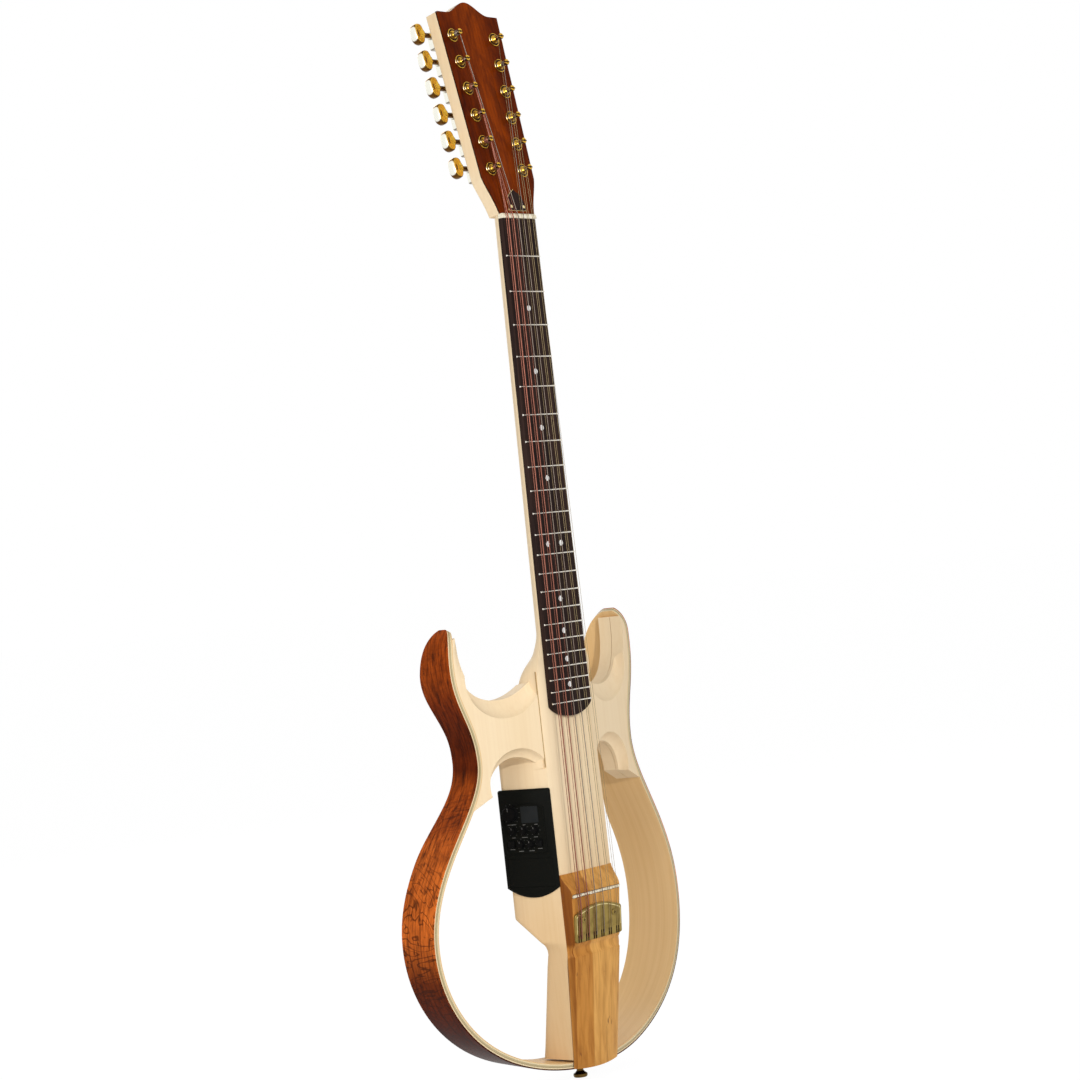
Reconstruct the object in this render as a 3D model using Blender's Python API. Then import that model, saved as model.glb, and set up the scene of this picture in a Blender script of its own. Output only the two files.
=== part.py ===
"""Twelve-string acoustic-electric frame guitar.

It stands upright: +Z runs up the neck, the front faces -Y and the treble side is +X.
The origin lies on the centreline at the nut, level with the tops of the frets.
All sizes are in metres.
"""
import math

import bmesh
import bpy
from mathutils import Matrix, Vector

# Clearances
GAP = 0.0003
RUNNING_GAP = 0.0004
OVERSHOOT = 0.0100

# Neck and fingerboard
SCALE_LENGTH = 0.650
FRET_COUNT = 22
BOARD_HALF_AT_NUT = 0.0240
BOARD_HALF_AT_END = 0.0286
BOARD_OVERHANG = 0.0024
BOARD_LENGTH = SCALE_LENGTH * (1 - 2 ** (-FRET_COUNT / 12)) + BOARD_OVERHANG
BOARD_END_BULGE = 0.0120
BOARD_THICKNESS = 0.0052
FRET_HEIGHT = 0.0010
FRET_WIDTH = 0.0022
FRET_SEAT = 0.0006
FRET_END_INSET = 0.0004
NUT_LENGTH = 0.0050
NUT_TOP = -0.0005
NECK_DEPTH_AT_NUT = 0.0145
NECK_DEPTH_AT_HEEL = 0.0175
NECK_TOP = 0.0260
NECK_TOP_HALF = 0.0235
NECK_TOP_INSET = 0.0020
NECK_SHOULDER = 0.0100
HEEL_START = -0.398
HEEL_SIDE_END = -0.434
HEEL_BACK_END = -0.456
HEEL_SQUARE_START = -0.418
HEEL_END = -0.465
HEEL_STEPS = 9
NUT_REAR_FALL = 0.0009

# Centre beam
BEAM_HALF_WIDTH = 0.0380
BEAM_BACK = 0.0400
BEAM_TAIL_HALF_WIDTH = 0.0320
BEAM_TAIL_BACK = 0.0610
BEAM_TAIL_TAPER_START = -0.705
BEAM_SIDE_FLARE = math.tan(math.radians(13.0))
BEAM_REBATE = 0.0012
BEAM_STEP = 0.0004
BEAM_TAIL_EASE = 0.0040
HOUSING_TOP = -0.5120
HOUSING_SEAT_TOP = -0.5275
HOUSING_TOP_ROUND = 0.0080
HOUSING_BOTTOM_FRONT = -0.6930
HOUSING_BOTTOM_BACK = -0.6700
HOUSING_FRONT = 0.0360
HOUSING_BACK = 0.0625
HOUSING_WALL = 0.0050
HOUSING_FLOOR_DROP = 0.0020
HOUSING_FLOOR_RISE = 0.00425
TRUSS_CHANNEL_WIDTH = 0.0066
TRUSS_CHANNEL_DEPTH = 0.0098
TRUSS_ROD_END = -0.440
TRUSS_ROD_START = 0.016
TRUSS_ROD_TOP = -0.002
TRUSS_NUT_RADIUS = 0.0026
TRUSS_NUT_LENGTH = 0.0170
TRUSS_NUT_OFFSET = 0.0010
TRUSS_END_ROOM = 0.0040
TRUSS_POCKET_HALF = 0.0045
TRUSS_POCKET_START = 0.0040
TRUSS_POCKET_END = 0.0240
TRUSS_POCKET_DEPTH = 0.0098

# Bridge and tail block
BLOCK_START = -0.6292
BLOCK_RAMP = 0.0185
BLOCK_LIP = 0.0002
BLOCK_PLATFORM_START = 0.0040
BLOCK_PLATFORM_END = 0.0080
SADDLE_POSITION = -0.6503
PLATFORM_FRONT = -0.0036
BLOCK_KNEE = -0.700
BLOCK_KNEE_FRONT = 0.0015
BLOCK_TAIL_FRONT = 0.0182
BLOCK_TAIL_BACK = 0.0199
BLOCK_HALF_AT_SADDLE = 0.0357
BLOCK_HALF_AT_KNEE = 0.0337
BLOCK_HALF_AT_TAIL = 0.0300
BLOCK_TAIL_CROWN = 0.0040
TAIL_BOW = 0.0021
SADDLE_HALF_LENGTH = 0.0345
SADDLE_THICKNESS = 0.0030
SADDLE_TOP = -0.0050
SADDLE_CROWN = 0.0008
SADDLE_SLOT_FLOOR = 0.0030
SADDLE_SLOT_RISE = 0.0200
PICKUP_THICKNESS = 0.0015
TAILPIECE_HALF_WIDTH = 0.0340
TAILPIECE_TOP = -0.6670
TAILPIECE_BOTTOM = -0.6945
TAILPIECE_BULGE = 0.0060
TAILPIECE_CORNER = 0.0020
TAILPIECE_SHOULDER = 0.0030
TAILPIECE_THICKNESS = 0.0020
TAILPIECE_SLOT_WIDTH = 0.0022
TAILPIECE_SLOT_LENGTH = 0.0060
TAILPIECE_SCREW_X = 0.0224
TAILPIECE_SCREW_DROP = 0.0065

# Wings and rim
WING_SLOPE = math.atan(0.24)
WING_HINGE_X = 0.0370
WING_HINGE_Y = 0.0090
WING_LAYER = 0.0130
WING_RIM_CLEARANCE = 0.0005
WING_BEAM_CLEARANCE = BEAM_HALF_WIDTH + GAP
SCOOP_DEPTH = 0.0090
COVE_PROFILE = ((-0.25, -0.17), (0.0, 0.0), (0.28, 0.50), (0.62, 0.83), (1.08, 1.06))
COVE_STEPS = 32
RIM_VENEER = 0.0011
RIM_CORE = 0.0050
RIM_DEPTH = 0.0545
RIM_THICKNESS = RIM_VENEER + GAP + RIM_CORE
RIM_CROWN_HALF = 0.075
TAIL_SETBACK = 0.0112
TAIL_SETBACK_START = -0.700
HORN_CREST_DEPTH = 0.0140
HORN_CREST_RISE = 0.0010
HORN_ROUND_HEIGHT = 0.0700
HORN_FRONT_ROUND = 0.0250

# Outline of the rim's front edge, seen from the front: points and handle lengths
TAIL_Z = -0.8166
HIP = (0.1803, -0.6760)
WAIST = (0.1137, -0.5126)
BOUT = (0.1330, -0.4210)
HORN_TIP = (0.1255, -0.3850)
TAIL_HANDLE = 0.1128
HIP_LOWER_HANDLE = 0.0811
HIP_UPPER_HANDLE = 0.0743
WAIST_LOWER_HANDLE = 0.0453
WAIST_UPPER_HANDLE = 0.0382
BOUT_LOWER_HANDLE = 0.0405
BOUT_UPPER_HANDLE = 0.0180
TIP_HANDLE = 0.0111
TIP_LEAN = math.radians(30.0)

# Cutaway and window on the wing's front face: points, curve handles and coves
CUTAWAY_BOTTOM = (0.0760, -0.4572)
CUTAWAY_NECK_END = (0.0320, -0.4335)
CUTAWAY_NECK_HANDLE = (0.0028, -0.0090)
CUTAWAY_BOTTOM_NECK_HANDLE = 0.0189
CUTAWAY_BOTTOM_HORN_HANDLE = 0.0290
CUTAWAY_HORN_END = (0.1205, -0.3938)
CUTAWAY_HORN_HANDLE = (0.0012, -0.0457)
CUTAWAY_TOP_MARGIN = 0.0004
CUTAWAY_COVE_CENTRE = (0.0742, -0.4353)
CUTAWAY_COVE_FRONT = (0.0423, 0.0392)
CUTAWAY_COVE_FLOOR = (0.0400, 0.0218)
WINDOW_CENTRE = (0.0668, -0.5450)
WINDOW_BEAM_REACH = 0.0350
WINDOW_LEG_REACH = 0.0312
WINDOW_RISE = 0.0322
WINDOW_FOOT = -0.5565
WINDOW_COVE_LIFT = 0.0082
WINDOW_COVE_FRONT = (0.0345, 0.0322)
WINDOW_COVE_FLOOR = (0.0320, 0.0322)

# Headstock
HEAD_ANGLE = math.radians(10.35)
HEAD_FACE_DROP = 0.0009
HEAD_START = 0.0066
HEAD_LENGTH = 0.2100
HEAD_CREST = 0.0125
HEAD_CREST_HALF = 0.0300
HEAD_HALF_AT_TOP = 0.0430
HEAD_HALF_AT_BEND = 0.0372
HEAD_HALF_AT_NUT = 0.0250
HEAD_BEND = 0.0420
HEAD_THICKNESS = 0.0160
HEAD_FLANK_LOW = (0.0020, 0.0140)
HEAD_FLANK_HIGH = (0.0030, 0.0120)
VENEER_THICKNESS = 0.0020
COVER_THICKNESS = 0.0018
COVER_HALF_WIDTH = 0.0110
COVER_START = 0.0080
COVER_LENGTH = 0.0190
COVER_POINT = 0.0020

# Tuners
TUNERS_PER_SIDE = 6
TUNER_FIRST = 0.0500
TUNER_TOP_MARGIN = 0.02305
TUNER_PITCH = (HEAD_LENGTH - TUNER_FIRST - TUNER_TOP_MARGIN) / (TUNERS_PER_SIDE - 1)
TUNER_HALF_FIRST = 0.0227
TUNER_HALF_STEP = 0.0014
TUNER_HOLE_RADIUS = 0.0051
BUSHING_RADIUS = 0.0046
BUSHING_BORE = 0.0032
BUSHING_FLANGE_RADIUS = 0.0069
BUSHING_FLANGE_HEIGHT = 0.0015
BUSHING_FLANGE_TAPER = 0.0008
POST_RADIUS = 0.0027
POST_WAIST_RADIUS = 0.0019
POST_WAIST_LOW = 0.0026
POST_WAIST_HIGH = 0.0089
POST_HEIGHT = 0.0112
POST_TIP_HEIGHT = 0.0004
POST_TIP_INSET = 0.0006
STRING_HEIGHT_ON_POST = 0.0072
GEAR_RADIUS = 0.0042
GEAR_THICKNESS = 0.0036
CASE_DEPTH = 0.0094
CASE_WALL = 0.0012
CASE_INNER = 0.0062
CASE_OUTER = 0.0085
CASE_LOWER = 0.0072
CASE_UPPER = 0.0112
CASE_INSET = 0.0004
STRIP_THICKNESS = 0.0010
STRIP_MARGIN = 0.0030
WORM_OFFSET = 0.0070
WORM_RADIUS = 0.0023
WORM_HALF_LENGTH = 0.0042
WORM_SHAFT_RADIUS = 0.0018
WORM_DEPTH = 0.0200
BUTTON_REACH = 0.0260
BUTTON_HALF_HEIGHT = 0.0102
BUTTON_HALF_WIDTH = 0.0066
BUTTON_HALF_THICKNESS = 0.0037
BUTTON_EDGE_SCALE = 0.72
BUTTON_EDGE_SHARE = 0.45
BUTTON_SHAFT_INSET = 0.0030

# Strings, from the bass side: half spacings and radii
COURSE_COUNT = 6
NUT_COURSE_SPREAD = 0.0382
NUT_PAIR_SPACING = 0.0024
SADDLE_COURSE_SPREAD = 0.0560
SADDLE_PAIR_SPACING = 0.0030
STRING_SIDES = 6
ANCHOR_BAR_RADIUS = 0.0009
ANCHOR_BAR_RISE = 0.0035
ANCHOR_BAR_DEPTH = 0.0016
ANCHOR_BAR_OVERHANG = 0.0050
COURSE_RADII = (0.00065, 0.00056, 0.00045, 0.00036, 0.00022, 0.00018)
OCTAVE_RADII = (0.00034, 0.00026, 0.00020, 0.00015, 0.00022, 0.00018)

# Preamp on the bass side of the electronics housing
PANEL_WIDTH = 0.0570
PANEL_TOP = -0.5455
PANEL_HEIGHT = 0.0940
PANEL_ARC = 0.0095
PANEL_THICKNESS = 0.0022
PANEL_EDGE_MARGIN = 0.0006
CHASSIS_DEPTH = 0.0300
CHASSIS_MARGIN = 0.0035
CHASSIS_TOP = 0.0060
CHASSIS_BOTTOM = 0.0935
KNOB_SHAFT_RADIUS = 0.0015
KNOB_SHAFT_LENGTH = 0.0080
KNOB_EDGE = 0.0005
VOLUME_KNOB = (0.0130, 0.0228)
VOLUME_RADIUS = 0.0080
VOLUME_HEIGHT = 0.0065
TONE_KNOBS = {
    "bass_knob": (0.0137, 0.0390),
    "middle_knob": (0.0257, 0.0390),
    "treble_knob": (0.0377, 0.0390),
    "notch_knob": (0.0210, 0.0521),
    "blend_knob": (0.0316, 0.0521),
}
TONE_RADIUS = 0.0039
TONE_HEIGHT = 0.0042
PUSH_BUTTONS = {
    "phase_button": (0.0113, 0.0515),
    "tuning_meter_button": (0.0412, 0.0515),
}
PUSH_HALF = 0.0033
PUSH_PROUD = 0.0018
PUSH_TRAVEL = 0.0012
PUSH_LENGTH = 0.0050
DISPLAY_LEFT = 0.0237
DISPLAY_WIDTH = 0.0187
DISPLAY_TOP = 0.0162
DISPLAY_HEIGHT = 0.0158
DISPLAY_THICKNESS = 0.0012
BATTERY_SIDE_ROOM = 0.00525
BATTERY_LENGTH = PANEL_WIDTH - 2 * BATTERY_SIDE_ROOM
BATTERY_SIZE = (BATTERY_LENGTH, 0.0255, 0.0170)
DOOR_LEFT = 0.0040
DOOR_WIDTH = PANEL_WIDTH - 2 * DOOR_LEFT
DOOR_TOP = 0.0660
DOOR_HEIGHT = 0.0272
DOOR_THICKNESS = 0.0020

# Jack and strap pin
JACK_PLATE_HALF_WIDTH = 0.0240
JACK_PLATE_HALF_HEIGHT = 0.0100
JACK_PLATE_THICKNESS = 0.0020
JACK_BARREL_RADIUS = 0.0055
JACK_BARREL_LENGTH = 0.0120
JACK_BORE = 0.0034
JACK_FLOOR = 0.0020
JACK_SOCKET_ROOM = 0.0300
STRAP_PIN_RADIUS = 0.0070
STRAP_PIN_WAIST = 0.0032
STRAP_PIN_BASE = 0.0050
STRAP_PIN_BASE_HEIGHT = 0.0012
STRAP_PIN_WAIST_LOW = 0.0035
STRAP_PIN_WAIST_HIGH = 0.0068
STRAP_PIN_HEAD_START = 0.0098
STRAP_PIN_EDGE = 0.0011
STRAP_SCREW_POINT = 0.0006
STRAP_SCREW_TAPER = 0.0040
STRAP_PIN_LENGTH = 0.0130
STRAP_SCREW_RADIUS = 0.0016
STRAP_SCREW_LENGTH = 0.0200
TAIL_PIN_DEPTH = 0.0420
TAILPIECE_SCREW_RADIUS = 0.0016
TAILPIECE_SCREW_LENGTH = 0.0070
TAILPIECE_SCREW_HEAD = 0.0028
TAILPIECE_SCREW_RIM = 0.0006
TAILPIECE_SCREW_DOME = 0.0014

BOARD_TOP = FRET_HEIGHT
BOARD_BOTTOM = BOARD_TOP + BOARD_THICKNESS
BEAM_FRONT = BOARD_BOTTOM + GAP


def clear_scene():
    for item in list(bpy.data.objects):
        bpy.data.objects.remove(item, do_unlink=True)


def material(name, colour, roughness, metallic=0.0):
    made = bpy.data.materials.get(name)
    if made:
        return made
    made = bpy.data.materials.new(name)
    made.use_nodes = True
    shader = made.node_tree.nodes["Principled BSDF"]
    shader.inputs["Base Color"].default_value = (*colour, 1.0)
    shader.inputs["Roughness"].default_value = roughness
    shader.inputs["Metallic"].default_value = metallic
    made.diffuse_color = (*colour, 1.0)
    return made


def maple():
    return material("maple", (0.80, 0.64, 0.42), 0.45)


def bubinga():
    return material("bubinga", (0.30, 0.07, 0.02), 0.25)


def honey_wood():
    return material("honey_wood", (0.58, 0.32, 0.12), 0.40)


def rosewood():
    return material("rosewood", (0.035, 0.018, 0.012), 0.50)


def gold():
    return material("gold", (0.83, 0.55, 0.12), 0.20, 1.0)


def old_gold():
    return material("old_gold", (0.36, 0.26, 0.07), 0.35, 1.0)


def steel():
    return material("steel", (0.62, 0.60, 0.57), 0.30, 1.0)


def bone():
    return material("bone", (0.86, 0.82, 0.70), 0.45)


def black_plastic():
    return material("black_plastic", (0.012, 0.012, 0.013), 0.45)


# Mesh helpers

def mesh_object(name, vertices, faces, look, smooth_angle=0.6, frame=None):
    """A closed mesh with its faces turned outwards."""
    mesh = bpy.data.meshes.new(name)
    mesh.from_pydata([tuple(v) for v in vertices], [], faces)
    work = bmesh.new()
    work.from_mesh(mesh)
    bmesh.ops.recalc_face_normals(work, faces=work.faces)
    work.to_mesh(mesh)
    work.free()
    mesh.shade_smooth()
    mesh.set_sharp_from_angle(angle=smooth_angle)
    made = bpy.data.objects.new(name, mesh)
    made.data.materials.append(look)
    if frame is not None:
        made.matrix_world = frame
    bpy.context.scene.collection.objects.link(made)
    return made


def loft_data(rings):
    """Vertices and faces of a closed tube through rings of equal counts."""
    count = len(rings[0])
    vertices = [point for ring in rings for point in ring]
    faces = []
    for r in range(len(rings) - 1):
        for i in range(count):
            j = (i + 1) % count
            a = r * count
            b = a + count
            faces.append((a + i, a + j, b + j))
            faces.append((a + i, b + j, b + i))
    faces.append(tuple(range(count)))
    last = (len(rings) - 1) * count
    faces.append(tuple(last + i for i in reversed(range(count))))
    return vertices, faces


def loft(name, rings, look, smooth_angle=0.6, frame=None):
    vertices, faces = loft_data(rings)
    return mesh_object(name, vertices, faces, look, smooth_angle, frame)


def box(name, low, high, look, frame=None):
    (x0, y0, z0), (x1, y1, z1) = low, high
    lower = [Vector((x0, y0, z0)), Vector((x1, y0, z0)), Vector((x1, y1, z0)), Vector((x0, y1, z0))]
    upper = [v + Vector((0, 0, z1 - z0)) for v in lower]
    return loft(name, [lower, upper], look, frame=frame)


def turned(name, profile, look, sides=12, frame=None, axis="Z"):
    """A solid of revolution from (radius, height) pairs along an axis."""
    rings = []
    for radius, height in profile:
        ring = []
        for i in range(sides):
            angle = 2 * math.pi * i / sides
            a = radius * math.cos(angle)
            b = radius * math.sin(angle)
            if axis == "Z":
                ring.append(Vector((a, b, height)))
            else:
                ring.append(Vector((height, a, b)))
        rings.append(ring)
    return loft(name, rings, look, 0.7, frame)


def take(first, *others):
    """Join other objects into the first one, keeping every solid separate."""
    work = bmesh.new()
    work.from_mesh(first.data)
    inverse = first.matrix_world.inverted()
    for other in others:
        other_mesh = other.data.copy()
        other_mesh.transform(inverse @ other.matrix_world)
        work.from_mesh(other_mesh)
        bpy.data.meshes.remove(other_mesh)
        bpy.data.objects.remove(other, do_unlink=True)
    work.to_mesh(first.data)
    work.free()
    return first


def combine(target, tool, operation):
    """Apply one exact Boolean and remove the tool object."""
    step = target.modifiers.new(operation, "BOOLEAN")
    step.operation = operation
    step.solver = "EXACT"
    step.object = tool
    bpy.context.view_layer.update()
    graph = bpy.context.evaluated_depsgraph_get()
    result = bpy.data.meshes.new_from_object(target.evaluated_get(graph), depsgraph=graph)
    target.modifiers.clear()
    old = target.data
    target.data = result
    bpy.data.meshes.remove(old)
    bpy.data.objects.remove(tool, do_unlink=True)
    target.data.shade_smooth()
    target.data.set_sharp_from_angle(angle=0.6)
    return target


def cut(target, tool):
    return combine(target, tool, "DIFFERENCE")


def fuse(target, tool):
    return combine(target, tool, "UNION")


def mirrored(source, name):
    """A copy on the treble side of a piece on the bass side."""
    mesh = source.data.copy()
    mesh.name = name
    mesh.transform(Matrix.Scale(-1, 4, Vector((1, 0, 0))))
    mesh.flip_normals()
    made = bpy.data.objects.new(name, mesh)
    bpy.context.scene.collection.objects.link(made)
    return made


def mix(a, b, share):
    return a + (b - a) * share


def smooth_share(value, start, end):
    share = min(1.0, max(0.0, (value - start) / (end - start)))
    return share * share * (3 - 2 * share)


def bezier(a, b, c, d, steps, first=0):
    """Points on a cubic curve, from step first to the last."""
    points = []
    for i in range(first, steps + 1):
        t = i / steps
        u = 1 - t
        points.append(Vector(a) * u ** 3 + Vector(b) * 3 * u * u * t
                      + Vector(c) * 3 * u * t * t + Vector(d) * t ** 3)
    return points


# Body outline and surfaces

def outline(tail_steps=20, hip_steps=10, waist_steps=6, horn_steps=8):
    """The rim's front outer edge from the tail up to the horn tip, as (x, z)."""
    tail = (0.0, TAIL_Z)
    lean = Vector((math.sin(TIP_LEAN), -math.cos(TIP_LEAN))) * TIP_HANDLE
    points = bezier(tail, (TAIL_HANDLE, TAIL_Z), (HIP[0], HIP[1] - HIP_LOWER_HANDLE), HIP, tail_steps)
    points += bezier(HIP, (HIP[0], HIP[1] + HIP_UPPER_HANDLE),
                     (WAIST[0], WAIST[1] - WAIST_LOWER_HANDLE), WAIST, hip_steps, 1)
    points += bezier(WAIST, (WAIST[0], WAIST[1] + WAIST_UPPER_HANDLE),
                     (BOUT[0], BOUT[1] - BOUT_LOWER_HANDLE), BOUT, waist_steps, 1)
    points += bezier(BOUT, (BOUT[0], BOUT[1] + BOUT_UPPER_HANDLE),
                     Vector(HORN_TIP) + lean, HORN_TIP, horn_steps, 1)
    return points


def tail_setback(z):
    share = max(0.0, (TAIL_SETBACK_START - z) / (TAIL_SETBACK_START - TAIL_Z))
    return TAIL_SETBACK * share ** 3


def rim_front(x, z):
    """Depth of the rim's front edge, and the slope angle there."""
    reach = abs(x)
    slope = WING_SLOPE
    if reach < RIM_CROWN_HALF:
        slope = math.atan(math.tan(WING_SLOPE) * reach / RIM_CROWN_HALF)
        reach = (reach * reach + RIM_CROWN_HALF ** 2) / (2 * RIM_CROWN_HALF)
    y = WING_HINGE_Y + math.tan(WING_SLOPE) * (reach - WING_HINGE_X) + tail_setback(z)
    return y, slope


def wing_flat(point):
    """The in-plane coordinates of a front-face point given as (x, z)."""
    return Vector(((point[0] - WING_HINGE_X) / math.cos(WING_SLOPE), point[1]))


def wing_place(flat, depth):
    """A world point on the bass wing from in-plane coordinates and depth."""
    s, z = flat
    x = WING_HINGE_X + s * math.cos(WING_SLOPE) - depth * math.sin(WING_SLOPE)
    y = WING_HINGE_Y + s * math.sin(WING_SLOPE) + depth * math.cos(WING_SLOPE)
    return Vector((-x, y, z))


def cutaway_edge():
    """The cutaway from the neck round its bottom to the horn, as (x, z)."""
    neck_end = Vector(CUTAWAY_NECK_END)
    horn_end = Vector(CUTAWAY_HORN_END)
    bottom = Vector(CUTAWAY_BOTTOM)
    points = bezier(neck_end, neck_end + Vector(CUTAWAY_NECK_HANDLE),
                    bottom - Vector((CUTAWAY_BOTTOM_NECK_HANDLE, 0)), bottom, 7)
    points += bezier(bottom, bottom + Vector((CUTAWAY_BOTTOM_HORN_HANDLE, 0)),
                     horn_end + Vector(CUTAWAY_HORN_HANDLE), horn_end, 10, 1)
    return points


def window_edge():
    """The window's arch from the beam over its apex to the foot's leg."""
    steps = 16
    points = []
    for i in range(steps + 1):
        angle = math.pi * (1 - i / steps)
        reach = WINDOW_BEAM_REACH if angle > math.pi / 2 else WINDOW_LEG_REACH
        points.append(Vector((WINDOW_CENTRE[0] + reach * math.cos(angle),
                              WINDOW_CENTRE[1] + WINDOW_RISE * math.sin(angle))))
    return points


def wing_outline():
    """The closed outline of a wing layer in in-plane coordinates."""
    rim_line = [wing_flat(p) for p in outline()]
    offset = RIM_THICKNESS + WING_RIM_CLEARANCE
    inner = []
    for i in range(1, len(rim_line) - 1):
        along = (rim_line[i + 1] - rim_line[i - 1]).normalized()
        inner.append(rim_line[i] + Vector((-along.y, along.x)) * offset)
    side = [p for p in inner if WINDOW_FOOT < p.y < CUTAWAY_HORN_END[1] - CUTAWAY_TOP_MARGIN]
    window = [wing_flat(p) for p in window_edge()]
    cutaway = [wing_flat(p) for p in cutaway_edge()]
    return window + side + list(reversed(cutaway))


def wing_layer(name, front, back):
    shape = wing_outline()
    rings = [[wing_place(p, front) for p in shape], [wing_place(p, back) for p in shape]]
    layer = loft(name, rings, maple(), 0.5)
    reach = 0.1
    keep_off = box("keep_off", (-WING_BEAM_CLEARANCE, -reach, -1.0), (reach, reach, 0.0), maple())
    return cut(layer, keep_off)


def cove(name, front_centre, front_radii, floor_centre, floor_radii):
    """A hollow that narrows from an oval on the front face to one on its floor."""
    rings = []
    for share, deep in COVE_PROFILE:
        centre = Vector(front_centre).lerp(Vector(floor_centre), share)
        wide = mix(front_radii[0], floor_radii[0], share)
        tall = mix(front_radii[1], floor_radii[1], share)
        ring = []
        for i in range(COVE_STEPS):
            angle = 2 * math.pi * (i + 0.5) / COVE_STEPS
            point = centre + Vector((wide * math.cos(angle), tall * math.sin(angle)))
            ring.append(wing_place(wing_flat(point), SCOOP_DEPTH * deep))
        rings.append(ring)
    return loft(name, rings, maple())


def cutaway_cove():
    return cove("cutaway_cove", CUTAWAY_COVE_CENTRE, CUTAWAY_COVE_FRONT,
                CUTAWAY_COVE_CENTRE, CUTAWAY_COVE_FLOOR)


def window_cove():
    lifted = (WINDOW_CENTRE[0], WINDOW_CENTRE[1] + WINDOW_COVE_LIFT)
    return cove("window_cove", lifted, WINDOW_COVE_FRONT, WINDOW_CENTRE, WINDOW_COVE_FLOOR)


def wings():
    front = wing_layer("wing_front_bass", 0.0, WING_LAYER - GAP / 2)
    cut(front, cutaway_cove())
    cut(front, window_cove())
    back = wing_layer("wing_back_bass", WING_LAYER + GAP / 2, 2 * WING_LAYER)
    mirrored(front, "wing_front_treble")
    mirrored(back, "wing_back_treble")


def rim_reach(z):
    """Front and back depth of the rim, rounded off at the horn tip."""
    front = 0.0
    back = RIM_DEPTH
    crest = HORN_TIP[1] + HORN_CREST_RISE
    round_start = crest - HORN_ROUND_HEIGHT
    if z > round_start:
        share = (z - round_start) / HORN_ROUND_HEIGHT
        back = HORN_CREST_DEPTH + (RIM_DEPTH - HORN_CREST_DEPTH) * math.sqrt(1 - share * share)
    front_start = crest - HORN_FRONT_ROUND
    if z > front_start:
        share = (z - front_start) / HORN_FRONT_ROUND
        front = HORN_CREST_DEPTH * (1 - math.sqrt(1 - share * share))
    return front, back


def rim_layer(name, outer, inner, look):
    """A bent strip between two offsets from the outline."""
    half = outline()
    path = [Vector((-p.x, p.y)) for p in reversed(half[1:])] + half
    edge = []
    for p in path:
        y, slope = rim_front(p.x, p.y)
        edge.append((Vector((p.x, y, p.y)), slope))
    rings = []
    for i, (point, slope) in enumerate(edge):
        before = edge[max(0, i - 1)][0]
        after = edge[min(len(edge) - 1, i + 1)][0]
        along = (after - before).normalized()
        side = 1 if point.x > 0 else -1
        deep = Vector((-side * math.sin(slope), math.cos(slope), 0))
        inwards = along.cross(deep).normalized()
        front, back = rim_reach(point.z)
        corners = ((outer, front), (inner, front), (inner, back), (outer, back))
        rings.append([point + inwards * a + deep * d for a, d in corners])
    return loft(name, rings, look, 0.6)


def rim():
    cut(rim_layer("rim_veneer", 0.0, RIM_VENEER, bubinga()), pin_hole())
    cut(rim_layer("rim_core", RIM_VENEER + GAP, RIM_THICKNESS, maple()), pin_hole())


# Neck, beam and headstock

def beam_section(z, half, front, back, power, flare):
    """A flat-fronted section whose back is round for 2 and square for 10."""
    steps = 14
    ring = []
    for i in range(steps + 1):
        angle = math.pi * i / steps
        c = math.cos(angle)
        s = math.sin(angle)
        across = math.copysign(abs(c) ** (2 / power), c)
        y = mix(front, back, abs(s) ** (2 / power))
        ring.append(Vector(((half + flare * (y - BEAM_FRONT)) * across, y, z)))
    return ring


def bow_tail(ring):
    """Lift a tail ring's sides so that it follows the outline."""
    for point in ring:
        point.z += TAIL_BOW * (point.x / BEAM_TAIL_HALF_WIDTH) ** 2


def board_half(z):
    return mix(BOARD_HALF_AT_NUT, BOARD_HALF_AT_END, -z / BOARD_LENGTH)


def neck_sections():
    depth_start = BEAM_FRONT + NECK_DEPTH_AT_NUT
    depth_heel = BEAM_FRONT + NECK_DEPTH_AT_HEEL
    rings = [beam_section(NECK_TOP, NECK_TOP_HALF, BEAM_FRONT + NECK_TOP_INSET,
                          depth_start - NECK_TOP_INSET, 2.0, 0.0)]
    for z in (NECK_SHOULDER, 0.0, HEEL_START / 3, HEEL_START * 2 / 3, HEEL_START):
        share = max(0.0, z / HEEL_START)
        half = board_half(min(z, 0.0))
        rings.append(beam_section(z, half, BEAM_FRONT, mix(depth_start, depth_heel, share), 2.0, 0.0))
    for i in range(1, HEEL_STEPS + 1):
        z = mix(HEEL_START, HEEL_END, i / HEEL_STEPS)
        half = mix(board_half(z), BEAM_HALF_WIDTH, smooth_share(z, HEEL_START, HEEL_SIDE_END))
        back = mix(depth_heel, BEAM_BACK, smooth_share(z, HEEL_START, HEEL_BACK_END))
        power = mix(2.0, 10.0, smooth_share(z, HEEL_SQUARE_START, HEEL_END))
        rings.append(beam_section(z, half, BEAM_FRONT, back, power, 0.0))
    return rings


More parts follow.
